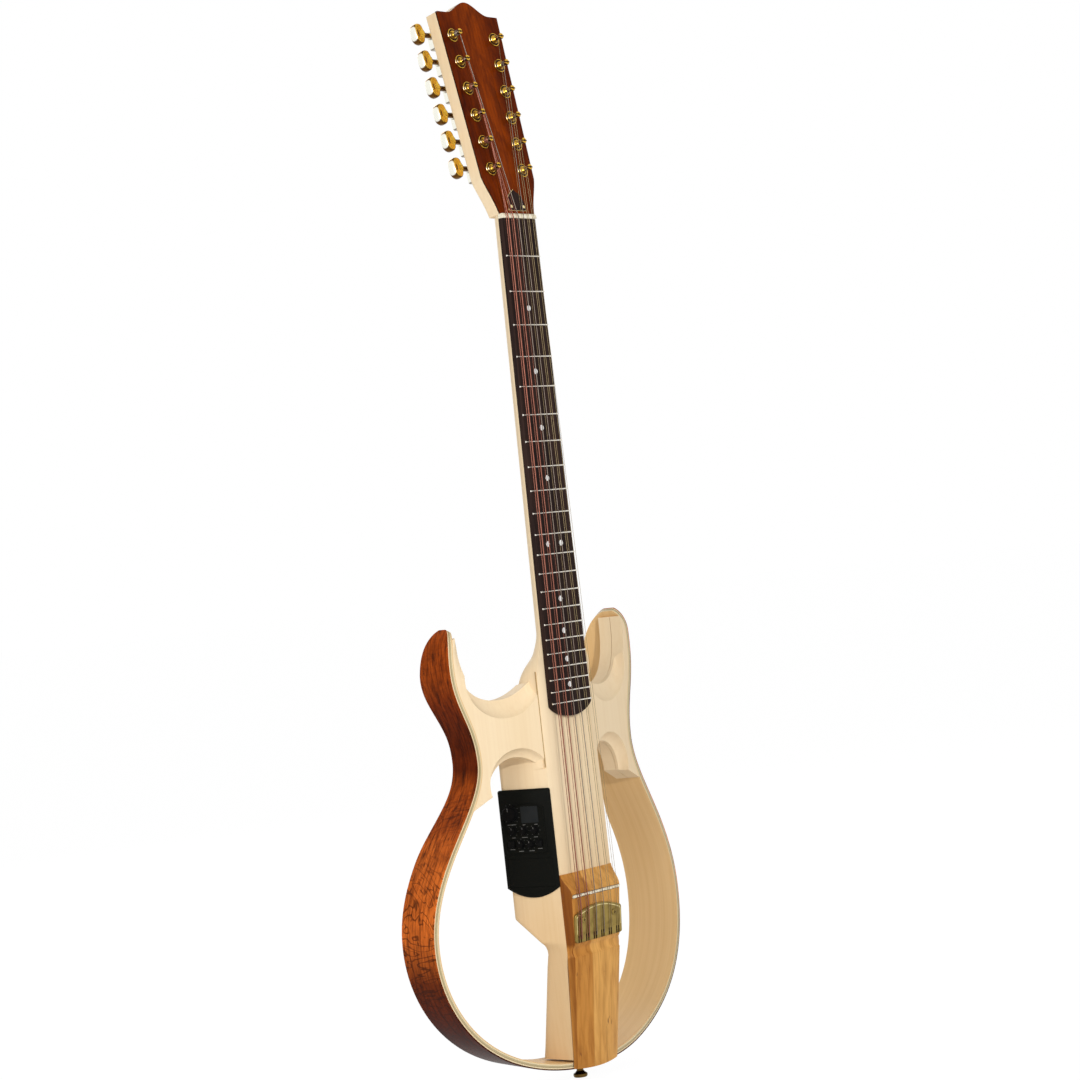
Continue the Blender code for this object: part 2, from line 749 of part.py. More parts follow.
def beam_sections():
    half = BEAM_HALF_WIDTH
    step = BEAM_STEP
    seat = BEAM_FRONT + BEAM_REBATE
    rings = [
        beam_section(HOUSING_SEAT_TOP + step, half, BEAM_FRONT, BEAM_BACK, 10.0, 0.0),
        beam_section(HOUSING_SEAT_TOP, half, BEAM_FRONT, HOUSING_FRONT, 14.0, BEAM_SIDE_FLARE),
        beam_section(BLOCK_START + step, half, BEAM_FRONT, HOUSING_FRONT, 14.0, BEAM_SIDE_FLARE),
        beam_section(BLOCK_START, half, seat, HOUSING_FRONT, 14.0, BEAM_SIDE_FLARE),
        beam_section(HOUSING_BOTTOM_FRONT, half, seat, HOUSING_FRONT, 14.0, BEAM_SIDE_FLARE),
        beam_section(HOUSING_BOTTOM_FRONT - BEAM_TAIL_EASE, half, seat + step, HOUSING_FRONT, 12.0,
                     BEAM_SIDE_FLARE * 0.55),
        beam_section(BEAM_TAIL_TAPER_START, half, seat + 3 * step, HOUSING_FRONT + step, 10.0, 0.0),
        beam_section(TAIL_Z + RIM_THICKNESS + GAP + step, BEAM_TAIL_HALF_WIDTH,
                     BLOCK_TAIL_BACK + GAP, BEAM_TAIL_BACK, 10.0, 0.0),
    ]
    bow_tail(rings[-1])
    return rings


def head_frame():
    """Local x across, y up the headstock, z out of its face."""
    turn = Matrix.Rotation(math.pi / 2 - HEAD_ANGLE, 4, "X")
    return Matrix.Translation((0, HEAD_FACE_DROP, 0)) @ turn


def head_outline(start):
    """The headstock's outline in (across, along) from a start line."""
    low = Vector((HEAD_HALF_AT_NUT, start))
    bend = Vector((HEAD_HALF_AT_BEND, HEAD_BEND))
    flank = bezier(low, low + Vector(HEAD_FLANK_LOW), bend - Vector(HEAD_FLANK_HIGH), bend, 5)
    right = flank + [Vector((HEAD_HALF_AT_TOP, HEAD_LENGTH))]
    crest = []
    steps = 12
    for i in range(steps + 1):
        x = HEAD_CREST_HALF * (1 - 2 * i / steps)
        rise = HEAD_CREST * math.cos(math.pi * x / (2 * HEAD_CREST_HALF)) ** 2
        crest.append(Vector((x, HEAD_LENGTH + rise)))
    left = [Vector((-p.x, p.y)) for p in reversed(right)]
    return right + crest + left


def tuner_seats():
    """Every tuner as (side, number, across, along)."""
    seats = []
    for side in (-1, 1):
        for number in range(TUNERS_PER_SIDE):
            across = side * (TUNER_HALF_FIRST + TUNER_HALF_STEP * number)
            seats.append((side, number + 1, across, TUNER_FIRST + TUNER_PITCH * number))
    return seats


def head_plate(name, start, low, high, look):
    shape = head_outline(start)
    rings = [[Vector((p.x, p.y, h)) for p in shape] for h in (low, high)]
    return loft(name, rings, look, 0.5, head_frame())


def tuner_drills():
    drills = []
    for side, number, across, along in tuner_seats():
        profile = [(TUNER_HOLE_RADIUS, -HEAD_THICKNESS - OVERSHOOT), (TUNER_HOLE_RADIUS, OVERSHOOT)]
        frame = head_frame() @ Matrix.Translation((across, along, 0))
        drills.append(turned("drill", profile, steel(), 10, frame))
    return take(*drills)


def truss_cavity(name):
    """The pocket in the headstock where the rod's nut is reached."""
    half = TRUSS_POCKET_HALF
    return box(name, (-half, TRUSS_POCKET_START, -TRUSS_POCKET_DEPTH),
               (half, TRUSS_POCKET_END, COVER_THICKNESS), steel(), head_frame())


def neck():
    piece = loft("neck_through_beam", neck_sections() + beam_sections(), maple(), 0.5)
    core_top = -(VENEER_THICKNESS + GAP)
    head = head_plate("head", HEAD_START, -HEAD_THICKNESS, core_top, maple())
    cut(head, tuner_drills())
    fuse(piece, head)
    half = TRUSS_CHANNEL_WIDTH / 2
    channel = box("channel", (-half, 0.0, TRUSS_ROD_END - TRUSS_END_ROOM),
                  (half, BEAM_FRONT + TRUSS_CHANNEL_DEPTH, TRUSS_ROD_START + TRUSS_END_ROOM), steel())
    cut(piece, channel)
    cut(piece, truss_cavity("cavity"))
    cut(piece, chassis_space("beam_notch"))
    return cut(piece, pin_hole())


def veneer():
    piece = head_plate("headstock_veneer", HEAD_START, -VENEER_THICKNESS, 0.0, bubinga())
    cut(piece, tuner_drills())
    return cut(piece, truss_cavity("cavity"))


def truss_cover():
    """A small plate over the rod's pocket, narrower at the nut."""
    base = GAP
    start = COVER_START
    end = COVER_START + COVER_LENGTH
    right = [Vector((COVER_HALF_WIDTH, start)), Vector((COVER_HALF_WIDTH * 0.96, mix(start, end, 0.5)))]
    right += bezier((COVER_HALF_WIDTH * 0.9, mix(start, end, 0.62)), (COVER_HALF_WIDTH * 0.8, end),
                    (COVER_HALF_WIDTH * 0.35, end - COVER_POINT / 2), (0, end + COVER_POINT), 5)
    left = [Vector((-p.x, p.y)) for p in reversed(right[:-1])]
    rings = [[Vector((p.x, p.y, h)) for p in right + left] for h in (base, base + COVER_THICKNESS)]
    return loft("truss_rod_cover", rings, rosewood(), 0.5, head_frame())


def truss_rod():
    """Two bars in the channel with the turning nut at the headstock."""
    half = TRUSS_CHANNEL_WIDTH / 2 - GAP
    front = BEAM_FRONT + GAP
    back = BEAM_FRONT + TRUSS_CHANNEL_DEPTH - GAP
    rod = box("truss_rod", (-half, front, TRUSS_ROD_END), (half, back, TRUSS_ROD_TOP), steel())
    middle = (front + back) / 2
    nut_frame = Matrix.Translation((0, middle - TRUSS_NUT_OFFSET, TRUSS_ROD_TOP - TRUSS_NUT_OFFSET))
    profile = [(TRUSS_NUT_RADIUS, 0.0), (TRUSS_NUT_RADIUS, TRUSS_NUT_LENGTH)]
    nut = turned("nut", profile, steel(), 6, nut_frame)
    return fuse(rod, nut)


def fret_position(number):
    return -SCALE_LENGTH * (1 - 2 ** (-number / 12))


def board_outline():
    """The board seen from the front, with a round end, as (x, z)."""
    steps = 16
    points = [Vector((BOARD_HALF_AT_NUT, 0.0))]
    for i in range(steps + 1):
        angle = math.pi * (0.5 - i / steps)
        bulge = BOARD_END_BULGE * abs(math.cos(angle)) ** 1.7
        points.append(Vector((BOARD_HALF_AT_END * math.sin(angle), -BOARD_LENGTH - bulge)))
    points.append(Vector((-BOARD_HALF_AT_NUT, 0.0)))
    return points


def fret_wires():
    """The beads of all frets, each dipping a little into the board."""
    made = []
    half = FRET_WIDTH / 2
    seat = BOARD_TOP + FRET_SEAT
    shoulder = BOARD_TOP - FRET_HEIGHT * 0.7
    for number in range(1, FRET_COUNT + 1):
        z = fret_position(number)
        reach = board_half(z) - FRET_END_INSET
        section = [(seat, -half), (BOARD_TOP - GAP, -half), (shoulder, -half * 0.7), (0.0, 0.0),
                   (shoulder, half * 0.7), (BOARD_TOP - GAP, half), (seat, half)]
        rings = [[Vector((x, y, z + dz)) for y, dz in section] for x in (-reach, reach)]
        made.append(loft("frets", rings, steel(), 0.5))
    return take(*made)


def fingerboard():
    """The board and the frets pressed into it."""
    shape = board_outline()
    rings = [[Vector((p.x, y, p.y)) for p in shape] for y in (BOARD_TOP, BOARD_BOTTOM)]
    board = loft("fingerboard", rings, rosewood(), 0.4)
    return fuse(board, fret_wires())


def nut():
    half = BOARD_HALF_AT_NUT
    low = GAP
    high = low + NUT_LENGTH - GAP
    seat = BEAM_FRONT - GAP
    section = [(seat, low), (NUT_TOP, low), (NUT_TOP + NUT_REAR_FALL, high), (seat, high)]
    rings = [[Vector((x, y, z)) for y, z in section] for x in (-half, half)]
    return loft("nut", rings, bone(), 0.4)


# Bridge and tail

def block_section(z, half, front, crown, back, back_half):
    steps = 8
    ring = [Vector((-back_half, back, z))]
    for i in range(steps + 1):
        share = 2 * i / steps - 1
        ring.append(Vector((half * share, front - crown * (1 - share * share), z)))
    ring.append(Vector((back_half, back, z)))
    return ring


def block_back(z):
    """Depth of the beam's front face behind the block, less the glue gap."""
    seat = BEAM_FRONT + BEAM_REBATE - GAP
    share = max(0.0, (z - BEAM_TAIL_TAPER_START) / (TAIL_Z - BEAM_TAIL_TAPER_START))
    return mix(seat, BLOCK_TAIL_BACK, share)


def block_front(z):
    """Depth of the block's front edges below the saddle."""
    if z > BLOCK_KNEE:
        start = SADDLE_POSITION - BLOCK_PLATFORM_START
        return mix(PLATFORM_FRONT, BLOCK_KNEE_FRONT, max(0.0, (z - start) / (BLOCK_KNEE - start)))
    return mix(BLOCK_KNEE_FRONT, BLOCK_TAIL_FRONT, (z - BLOCK_KNEE) / (TAIL_Z - BLOCK_KNEE))


def block_half(z):
    if z > BLOCK_KNEE:
        share = (z - SADDLE_POSITION) / (BLOCK_KNEE - SADDLE_POSITION)
        return mix(BLOCK_HALF_AT_SADDLE, BLOCK_HALF_AT_KNEE, max(0.0, share))
    return mix(BLOCK_HALF_AT_KNEE, BLOCK_HALF_AT_TAIL, (z - BLOCK_KNEE) / (TAIL_Z - BLOCK_KNEE))


def tail_block():
    """Ramp up to the saddle, then a slope that turns into a crowned tail."""
    rings = []
    for i in range(7):
        share = i / 6
        z = BLOCK_START - GAP - BLOCK_RAMP * share
        front = mix(BEAM_FRONT - BLOCK_LIP, PLATFORM_FRONT, smooth_share(share, 0.0, 1.0))
        half = mix(BEAM_HALF_WIDTH, BLOCK_HALF_AT_SADDLE, smooth_share(share, 0.0, 1.0))
        rings.append(block_section(z, half, front, 0.0, block_back(z), BEAM_HALF_WIDTH))
    platform_end = SADDLE_POSITION - BLOCK_PLATFORM_END
    crowned = [mix(platform_end, BLOCK_KNEE, i / 2) for i in range(3)]
    crowned += [mix(BLOCK_KNEE, TAIL_Z, i / 5) for i in range(1, 5)]
    for z in crowned:
        share = max(0.0, (z - BLOCK_KNEE) / (TAIL_Z - BLOCK_KNEE))
        crown = BLOCK_TAIL_CROWN * math.sqrt(share)
        taper = max(0.0, (z - BEAM_TAIL_TAPER_START) / (TAIL_Z - BEAM_TAIL_TAPER_START))
        back_half = mix(BEAM_HALF_WIDTH, BEAM_TAIL_HALF_WIDTH, taper)
        rings.append(block_section(z, block_half(z), block_front(z), crown, block_back(z), back_half))
    last = block_section(TAIL_Z, BLOCK_HALF_AT_TAIL, BLOCK_TAIL_FRONT, BLOCK_TAIL_CROWN,
                         BLOCK_TAIL_BACK, BEAM_TAIL_HALF_WIDTH)
    bow_tail(last)
    rings.append(last)
    block = loft("bridge_tail_block", rings, honey_wood(), 0.4)
    half = SADDLE_THICKNESS / 2 + GAP
    reach = SADDLE_HALF_LENGTH + GAP
    slot = box("slot", (-reach, -SADDLE_SLOT_RISE, SADDLE_POSITION - half),
               (reach, SADDLE_SLOT_FLOOR, SADDLE_POSITION + half), bone())
    cut(block, slot)
    reach = SADDLE_COURSE_SPREAD / 2 + ANCHOR_BAR_OVERHANG + 2 * GAP
    room = ANCHOR_BAR_RADIUS + GAP
    groove = box("groove", (-reach, ANCHOR_BAR_RISE - room, -ANCHOR_BAR_DEPTH - room),
                 (reach, ANCHOR_BAR_RISE + room, OVERSHOOT), bone(), tailpiece_frame())
    cut(block, groove)
    return cut(block, tailpiece_screw_holes())


def pickup():
    floor = SADDLE_SLOT_FLOOR - GAP
    half = SADDLE_THICKNESS / 2
    return box("piezo_pickup", (-SADDLE_HALF_LENGTH, floor - PICKUP_THICKNESS, SADDLE_POSITION - half),
               (SADDLE_HALF_LENGTH, floor, SADDLE_POSITION + half), steel())


def saddle():
    """A strip whose crown steps back and forth for each course."""
    bottom = SADDLE_SLOT_FLOOR - PICKUP_THICKNESS - 2 * GAP
    half = SADDLE_THICKNESS / 2
    shoulder = SADDLE_TOP + SADDLE_CROWN
    section = [(bottom, -half), (shoulder, -half), (SADDLE_TOP, -half * 0.3),
               (SADDLE_TOP, half * 0.3), (shoulder, half), (bottom, half)]
    rings = [[Vector((x, y, SADDLE_POSITION + dz)) for y, dz in section]
             for x in (-SADDLE_HALF_LENGTH, SADDLE_HALF_LENGTH)]
    return loft("saddle", rings, bone(), 0.4)


def tailpiece_frame():
    """Local x across, y up the plate, z to the front, at the plate's lower edge."""
    low = block_front(TAILPIECE_BOTTOM)
    high = block_front(TAILPIECE_TOP)
    lean = math.atan2(low - high, TAILPIECE_TOP - TAILPIECE_BOTTOM)
    turn = Matrix.Rotation(math.pi / 2 + lean, 4, "X")
    return Matrix.Translation((0, low - GAP, TAILPIECE_BOTTOM)) @ turn


def string_rows():
    """Every string as (number, nut x, saddle x, radius), from the bass side."""
    rows = []
    for course in range(COURSE_COUNT):
        share = course / (COURSE_COUNT - 1) - 0.5
        nut_centre = NUT_COURSE_SPREAD * share
        saddle_centre = SADDLE_COURSE_SPREAD * share
        for k, radius in enumerate((OCTAVE_RADII[course], COURSE_RADII[course])):
            offset = k - 0.5
            rows.append((2 * course + k + 1, nut_centre + NUT_PAIR_SPACING * offset,
                         saddle_centre + SADDLE_PAIR_SPACING * offset, radius))
    return rows


def tailpiece():
    """A plate with a bowed top edge and twelve slots for the ball ends."""
    height = TAILPIECE_TOP - TAILPIECE_BOTTOM
    half = TAILPIECE_HALF_WIDTH
    inner = half - TAILPIECE_CORNER
    right = [Vector((inner, 0)), Vector((half, TAILPIECE_CORNER)),
             Vector((half, height - TAILPIECE_SHOULDER)), Vector((inner, height))]
    left = [Vector((-p.x, p.y)) for p in reversed(right)]
    steps = 8
    crest = []
    for i in range(1, steps):
        share = 1 - 2 * i / steps
        crest.append(Vector((inner * share, height + TAILPIECE_BULGE * (1 - share * share))))
    shape = right + crest + left
    rings = [[Vector((p.x, p.y, h)) for p in shape] for h in (0.0, TAILPIECE_THICKNESS)]
    plate = loft("tailpiece", rings, old_gold(), 0.4, tailpiece_frame())
    slots = []
    for number, nut_x, saddle_x, radius in string_rows():
        low = (saddle_x - TAILPIECE_SLOT_WIDTH / 2, -OVERSHOOT, -OVERSHOOT)
        high = (saddle_x + TAILPIECE_SLOT_WIDTH / 2, TAILPIECE_SLOT_LENGTH, OVERSHOOT)
        slots.append(box("slot", low, high, old_gold(), tailpiece_frame()))
    cut(plate, take(*slots))
    return cut(plate, tailpiece_screw_holes())


def tailpiece_screw_place(side):
    height = TAILPIECE_TOP - TAILPIECE_BOTTOM
    return Vector((side * TAILPIECE_SCREW_X, height - TAILPIECE_SCREW_DROP, 0))


def tailpiece_screw_holes():
    radius = TAILPIECE_SCREW_RADIUS + GAP
    holes = []
    for side in (-1, 1):
        frame = tailpiece_frame() @ Matrix.Translation(tailpiece_screw_place(side))
        holes.append(turned("hole", [(radius, -TAILPIECE_SCREW_LENGTH - GAP), (radius, OVERSHOOT)],
                            steel(), 12, frame))
    return take(*holes)


def tailpiece_screws():
    head = TAILPIECE_THICKNESS + GAP
    wide = TAILPIECE_SCREW_HEAD
    profile = [(TAILPIECE_SCREW_RADIUS, -TAILPIECE_SCREW_LENGTH), (TAILPIECE_SCREW_RADIUS, head),
               (wide, head), (wide, head + TAILPIECE_SCREW_RIM),
               (wide * 0.6, head + TAILPIECE_SCREW_DOME)]
    for side, name in ((-1, "tailpiece_screw_bass"), (1, "tailpiece_screw_treble")):
        frame = tailpiece_frame() @ Matrix.Translation(tailpiece_screw_place(side))
        turned(name, profile, old_gold(), 12, frame)


# Electronics

def housing_half(y):
    return BEAM_HALF_WIDTH + BEAM_SIDE_FLARE * (y - BEAM_FRONT)


def flared_prism(name, profile, inset, look):
    """A body whose sides follow the beam's flare, from a (y, z) profile."""
    rings = []
    for side in (-1, 1):
        rings.append([Vector((side * (housing_half(y) - inset), y, z)) for y, z in profile])
    return loft(name, rings, look, 0.4)


def housing():
    """A hollow box on the beam's back, cut at an angle underneath."""
    front = HOUSING_FRONT + GAP
    above = BEAM_BACK + GAP
    seat = HOUSING_SEAT_TOP - GAP
    profile = [(front, seat), (above, seat), (above, HOUSING_TOP)]
    for i in range(4):
        angle = math.pi / 2 * i / 3
        profile.append((HOUSING_BACK - HOUSING_TOP_ROUND * (1 - math.sin(angle)),
                        HOUSING_TOP - HOUSING_TOP_ROUND * (1 - math.cos(angle))))
    profile += [(HOUSING_BACK, HOUSING_BOTTOM_BACK), (front, HOUSING_BOTTOM_FRONT)]
    shell = flared_prism("electronics_housing", profile, 0.0, maple())
    wall = HOUSING_WALL
    top = HOUSING_SEAT_TOP - wall
    inner_back = HOUSING_BACK - wall
    open_front = front - 2 * wall
    inner = flared_prism("inner",
                         [(open_front, top), (inner_back, top),
                          (inner_back, HOUSING_BOTTOM_BACK + HOUSING_FLOOR_RISE),
                          (open_front, HOUSING_BOTTOM_FRONT - HOUSING_FLOOR_DROP)],
                         wall, maple())
    cut(shell, inner)
    cut(shell, chassis_space("housing_window"))
    radius = JACK_BARREL_RADIUS + GAP
    hole = turned("hole", [(radius, -JACK_SOCKET_ROOM), (radius, OVERSHOOT)], steel(), 16, jack_frame())
    return cut(shell, hole)


def panel_frame():
    """Local x to the front along the housing's side, y up, z outwards."""
    outwards = Vector((-1, -BEAM_SIDE_FLARE, 0)).normalized()
    forwards = Vector((BEAM_SIDE_FLARE, -1, 0)).normalized()
    front_edge = Vector((-BEAM_HALF_WIDTH, BEAM_FRONT, PANEL_TOP))
    corner = front_edge - forwards * (PANEL_WIDTH + PANEL_EDGE_MARGIN)
    frame = Matrix((forwards, Vector((0, 0, 1)), outwards)).transposed().to_4x4()
    return Matrix.Translation(corner) @ frame


def panel_box(name, left, top, width, height, low, high, look):
    return box(name, (left, -top - height, low), (left + width, -top, high), look, panel_frame())


def chassis_space(name):
    width = PANEL_WIDTH - 2 * CHASSIS_MARGIN + 2 * GAP
    height = CHASSIS_BOTTOM - CHASSIS_TOP + 2 * GAP
    return panel_box(name, CHASSIS_MARGIN - GAP, CHASSIS_TOP - GAP, width, height,
                     -CHASSIS_DEPTH - GAP, OVERSHOOT, black_plastic())


def panel():
    """The preamp's face plate with its chassis behind it."""
    steps = 8
    shape = [Vector((0, 0)), Vector((0, -PANEL_HEIGHT))]
    for i in range(1, steps):
        share = 2 * i / steps - 1
        x = PANEL_WIDTH * i / steps
        shape.append(Vector((x, -PANEL_HEIGHT - PANEL_ARC * (1 - share * share))))
    shape += [Vector((PANEL_WIDTH, -PANEL_HEIGHT)), Vector((PANEL_WIDTH, 0))]
    rings = [[Vector((p.x, p.y, h)) for p in shape] for h in (GAP, GAP + PANEL_THICKNESS)]
    plate = loft("preamp_panel", rings, black_plastic(), 0.4, panel_frame())
    chassis = panel_box("chassis", CHASSIS_MARGIN, CHASSIS_TOP, PANEL_WIDTH - 2 * CHASSIS_MARGIN,
                        CHASSIS_BOTTOM - CHASSIS_TOP, -CHASSIS_DEPTH, PANEL_THICKNESS / 2, black_plastic())
    fuse(plate, chassis)
    face = GAP + PANEL_THICKNESS
    door_floor = face - DOOR_THICKNESS - GAP
    door_pocket = panel_box("pocket", DOOR_LEFT - GAP, DOOR_TOP - GAP, DOOR_WIDTH + 2 * GAP,
                            DOOR_HEIGHT + 2 * GAP, door_floor, OVERSHOOT, black_plastic())
    cut(plate, door_pocket)
    length, width, depth = (size + 2 * GAP for size in BATTERY_SIZE)
    left = (PANEL_WIDTH - length) / 2
    top = DOOR_TOP + (DOOR_HEIGHT - width) / 2
    bay_floor = door_floor - GAP - depth
    cut(plate, panel_box("bay", left, top, length, width, bay_floor, OVERSHOOT, black_plastic()))
    glass_floor = face - DISPLAY_THICKNESS - GAP
    cut(plate, panel_box("glass", DISPLAY_LEFT - GAP, DISPLAY_TOP - GAP, DISPLAY_WIDTH + 2 * GAP,
                         DISPLAY_HEIGHT + 2 * GAP, glass_floor, OVERSHOOT, black_plastic()))
    for across, drop in [VOLUME_KNOB] + list(TONE_KNOBS.values()):
        frame = panel_frame() @ Matrix.Translation((across, -drop, 0))
        bore = KNOB_SHAFT_RADIUS + RUNNING_GAP
        depth = face - KNOB_SHAFT_LENGTH - 2 * GAP
        cut(plate, turned("bore", [(bore, depth), (bore, OVERSHOOT)], black_plastic(), 12, frame))
    reach = PUSH_HALF + RUNNING_GAP
    for across, drop in PUSH_BUTTONS.values():
        floor = face + PUSH_PROUD - PUSH_LENGTH - PUSH_TRAVEL - GAP
        cut(plate, panel_box("well", across - reach, drop - reach, 2 * reach, 2 * reach, floor, OVERSHOOT,
                             black_plastic()))
    return plate


def display():
    face = GAP + PANEL_THICKNESS
    return panel_box("display_window", DISPLAY_LEFT, DISPLAY_TOP, DISPLAY_WIDTH, DISPLAY_HEIGHT,
                     face - DISPLAY_THICKNESS, face, material("dark_glass", (0.03, 0.03, 0.035), 0.1))


def knob(name, place, radius, height):
    """A knob with its shaft, turning about local Z."""
    across, drop = place
    face = GAP + PANEL_THICKNESS
    frame = panel_frame() @ Matrix.Translation((across, -drop, face))
    profile = [(KNOB_SHAFT_RADIUS, -KNOB_SHAFT_LENGTH), (KNOB_SHAFT_RADIUS, GAP), (radius, GAP),
               (radius, GAP + height * 0.3), (radius * 0.88, height - KNOB_EDGE), (radius * 0.8, height)]
    return turned(name, profile, black_plastic(), 12, frame)


def controls():
    knob("volume_knob", VOLUME_KNOB, VOLUME_RADIUS, VOLUME_HEIGHT)
    for name, place in TONE_KNOBS.items():
        knob(name, place, TONE_RADIUS, TONE_HEIGHT)
    face = GAP + PANEL_THICKNESS
    for name, (across, drop) in PUSH_BUTTONS.items():
        frame = panel_frame() @ Matrix.Translation((across, -drop, face))
        box(name, (-PUSH_HALF, -PUSH_HALF, PUSH_PROUD - PUSH_LENGTH), (PUSH_HALF, PUSH_HALF, PUSH_PROUD),
            black_plastic(), frame)


def battery():
    face = GAP + PANEL_THICKNESS
    length, width, depth = BATTERY_SIZE
    left = (PANEL_WIDTH - length) / 2
    top = DOOR_TOP + (DOOR_HEIGHT - width) / 2
    high = face - DOOR_THICKNESS - 2 * GAP
    return panel_box("battery", left + GAP, top + GAP, length, width, high - depth, high,
                     material("battery_can", (0.05, 0.05, 0.06), 0.4, 0.6))


def battery_door():
    """A lid whose hinge runs along its top outer edge."""
    face = GAP + PANEL_THICKNESS
    frame = panel_frame() @ Matrix.Translation((DOOR_LEFT, -DOOR_TOP, face + GAP))
    return box("battery_door", (0, -DOOR_HEIGHT, -DOOR_THICKNESS - GAP), (DOOR_WIDTH, -GAP, -GAP),
               black_plastic(), frame)


def jack_frame():
    """The middle of the housing's slanted underside, local Z pointing out."""
    front = Vector((0, HOUSING_FRONT, HOUSING_BOTTOM_FRONT))
    back = Vector((0, HOUSING_BACK, HOUSING_BOTTOM_BACK))
    along = (back - front).normalized()
    outwards = Vector((1, 0, 0)).cross(along)
    if outwards.z > 0:
        outwards = -outwards
    frame = Matrix((Vector((1, 0, 0)), outwards.cross(Vector((1, 0, 0))), outwards)).transposed().to_4x4()
    return Matrix.Translation((front + back) / 2) @ frame


def jack():
    """A black plate with the output socket's barrel behind it."""
    low = GAP
    high = GAP + JACK_PLATE_THICKNESS
    plate = box("output_jack", (-JACK_PLATE_HALF_WIDTH, -JACK_PLATE_HALF_HEIGHT, low),
                (JACK_PLATE_HALF_WIDTH, JACK_PLATE_HALF_HEIGHT, high), black_plastic(), jack_frame())
    profile = [(JACK_BARREL_RADIUS, -JACK_BARREL_LENGTH), (JACK_BARREL_RADIUS, (low + high) / 2)]
    barrel = turned("barrel", profile, black_plastic(), 16, jack_frame())
    fuse(plate, barrel)
    bore = turned("bore", [(JACK_BORE, JACK_FLOOR - JACK_BARREL_LENGTH), (JACK_BORE, OVERSHOOT)],
                  black_plastic(), 16, jack_frame())
    return cut(plate, bore)


# Strap pin

def tail_pin_frame():
    return (Matrix.Translation((0, TAIL_PIN_DEPTH, TAIL_Z - GAP))
            @ Matrix.Rotation(math.pi, 4, "X"))


def pin_hole():
    radius = STRAP_SCREW_RADIUS + GAP
    profile = [(radius, -STRAP_SCREW_LENGTH - GAP), (radius, OVERSHOOT)]
    return turned("hole", profile, steel(), 10, tail_pin_frame())


def strap_pin():
    """The tail pin with its screw."""
    waist = STRAP_PIN_WAIST
    wide = STRAP_PIN_RADIUS
    profile = [(STRAP_SCREW_POINT, -STRAP_SCREW_LENGTH),
               (STRAP_SCREW_RADIUS, STRAP_SCREW_TAPER - STRAP_SCREW_LENGTH), (STRAP_SCREW_RADIUS, 0.0),
               (STRAP_PIN_BASE, 0.0), (STRAP_PIN_BASE, STRAP_PIN_BASE_HEIGHT), (waist, STRAP_PIN_WAIST_LOW),
               (waist, STRAP_PIN_WAIST_HIGH), (wide, STRAP_PIN_HEAD_START),
               (wide, STRAP_PIN_LENGTH - STRAP_PIN_EDGE), (wide - STRAP_PIN_EDGE, STRAP_PIN_LENGTH)]
    return turned("tail_strap_pin", profile, old_gold(), 14, tail_pin_frame())


# Tuners

def row_across(side, along):
    """The row's centre line at a distance along the headstock."""
    return side * (TUNER_HALF_FIRST + TUNER_HALF_STEP * (along - TUNER_FIRST) / TUNER_PITCH)


def tuner_strip(side, name):
    """One row's mounting strip with six gear cases and six bushings."""
    seats = [seat for seat in tuner_seats() if seat[0] == side]
    top = -HEAD_THICKNESS - GAP
    low = top - STRIP_THICKNESS
    wall = CASE_WALL
    start = seats[0][3] - CASE_LOWER - STRIP_MARGIN
    end = seats[-1][3] + CASE_UPPER + STRIP_MARGIN
    corners = []
    for along, offset in ((start, -CASE_INNER), (start, CASE_OUTER), (end, CASE_OUTER), (end, -CASE_INNER)):
        corners.append((row_across(side, along) + side * offset, along))
    rings = [[Vector((x, y, h)) for x, y in corners] for h in (low, top)]
    strip = loft(name, rings, gold(), 0.5, head_frame())
    cases = []
    hollows = []
    sleeves = []
    bores = []
    exits = []
    for _, number, across, along in seats:
        frame = head_frame() @ Matrix.Translation((across, along, 0))
        inner_x, outer_x = sorted((-side * CASE_INNER, side * CASE_OUTER))
        cases.append(box("case", (inner_x + CASE_INSET, -CASE_LOWER, top - CASE_DEPTH),
                         (outer_x - CASE_INSET, CASE_UPPER, top - STRIP_THICKNESS / 2), gold(), frame))
        hollows.append(box("hollow", (inner_x + wall, -CASE_LOWER + wall, top - CASE_DEPTH + wall),
                           (outer_x - wall, CASE_UPPER - wall, low), gold(), frame))
        flange_high = GAP + BUSHING_FLANGE_HEIGHT
        profile = [(BUSHING_RADIUS, top - STRIP_THICKNESS / 2), (BUSHING_RADIUS, GAP),
                   (BUSHING_FLANGE_RADIUS, GAP), (BUSHING_FLANGE_RADIUS - BUSHING_FLANGE_TAPER, flange_high)]
        sleeves.append(turned("sleeve", profile, gold(), 10, frame))
        bore = BUSHING_BORE
        bores.append(turned("bore", [(bore, low - CASE_INSET), (bore, OVERSHOOT)], gold(), 10, frame))
        exit_frame = frame @ Matrix.Translation((0, WORM_OFFSET, -WORM_DEPTH))
        ends = [side * (CASE_OUTER - 2 * wall), side * (CASE_OUTER + OVERSHOOT)]
        radius = WORM_SHAFT_RADIUS + RUNNING_GAP
        exits.append(turned("exit", [(radius, ends[0]), (radius, ends[1])], gold(), 8, exit_frame, "X"))
    fuse(strip, take(*cases))
    fuse(strip, take(*sleeves))
    cut(strip, take(*hollows))
    cut(strip, take(*bores))
    return cut(strip, take(*exits))


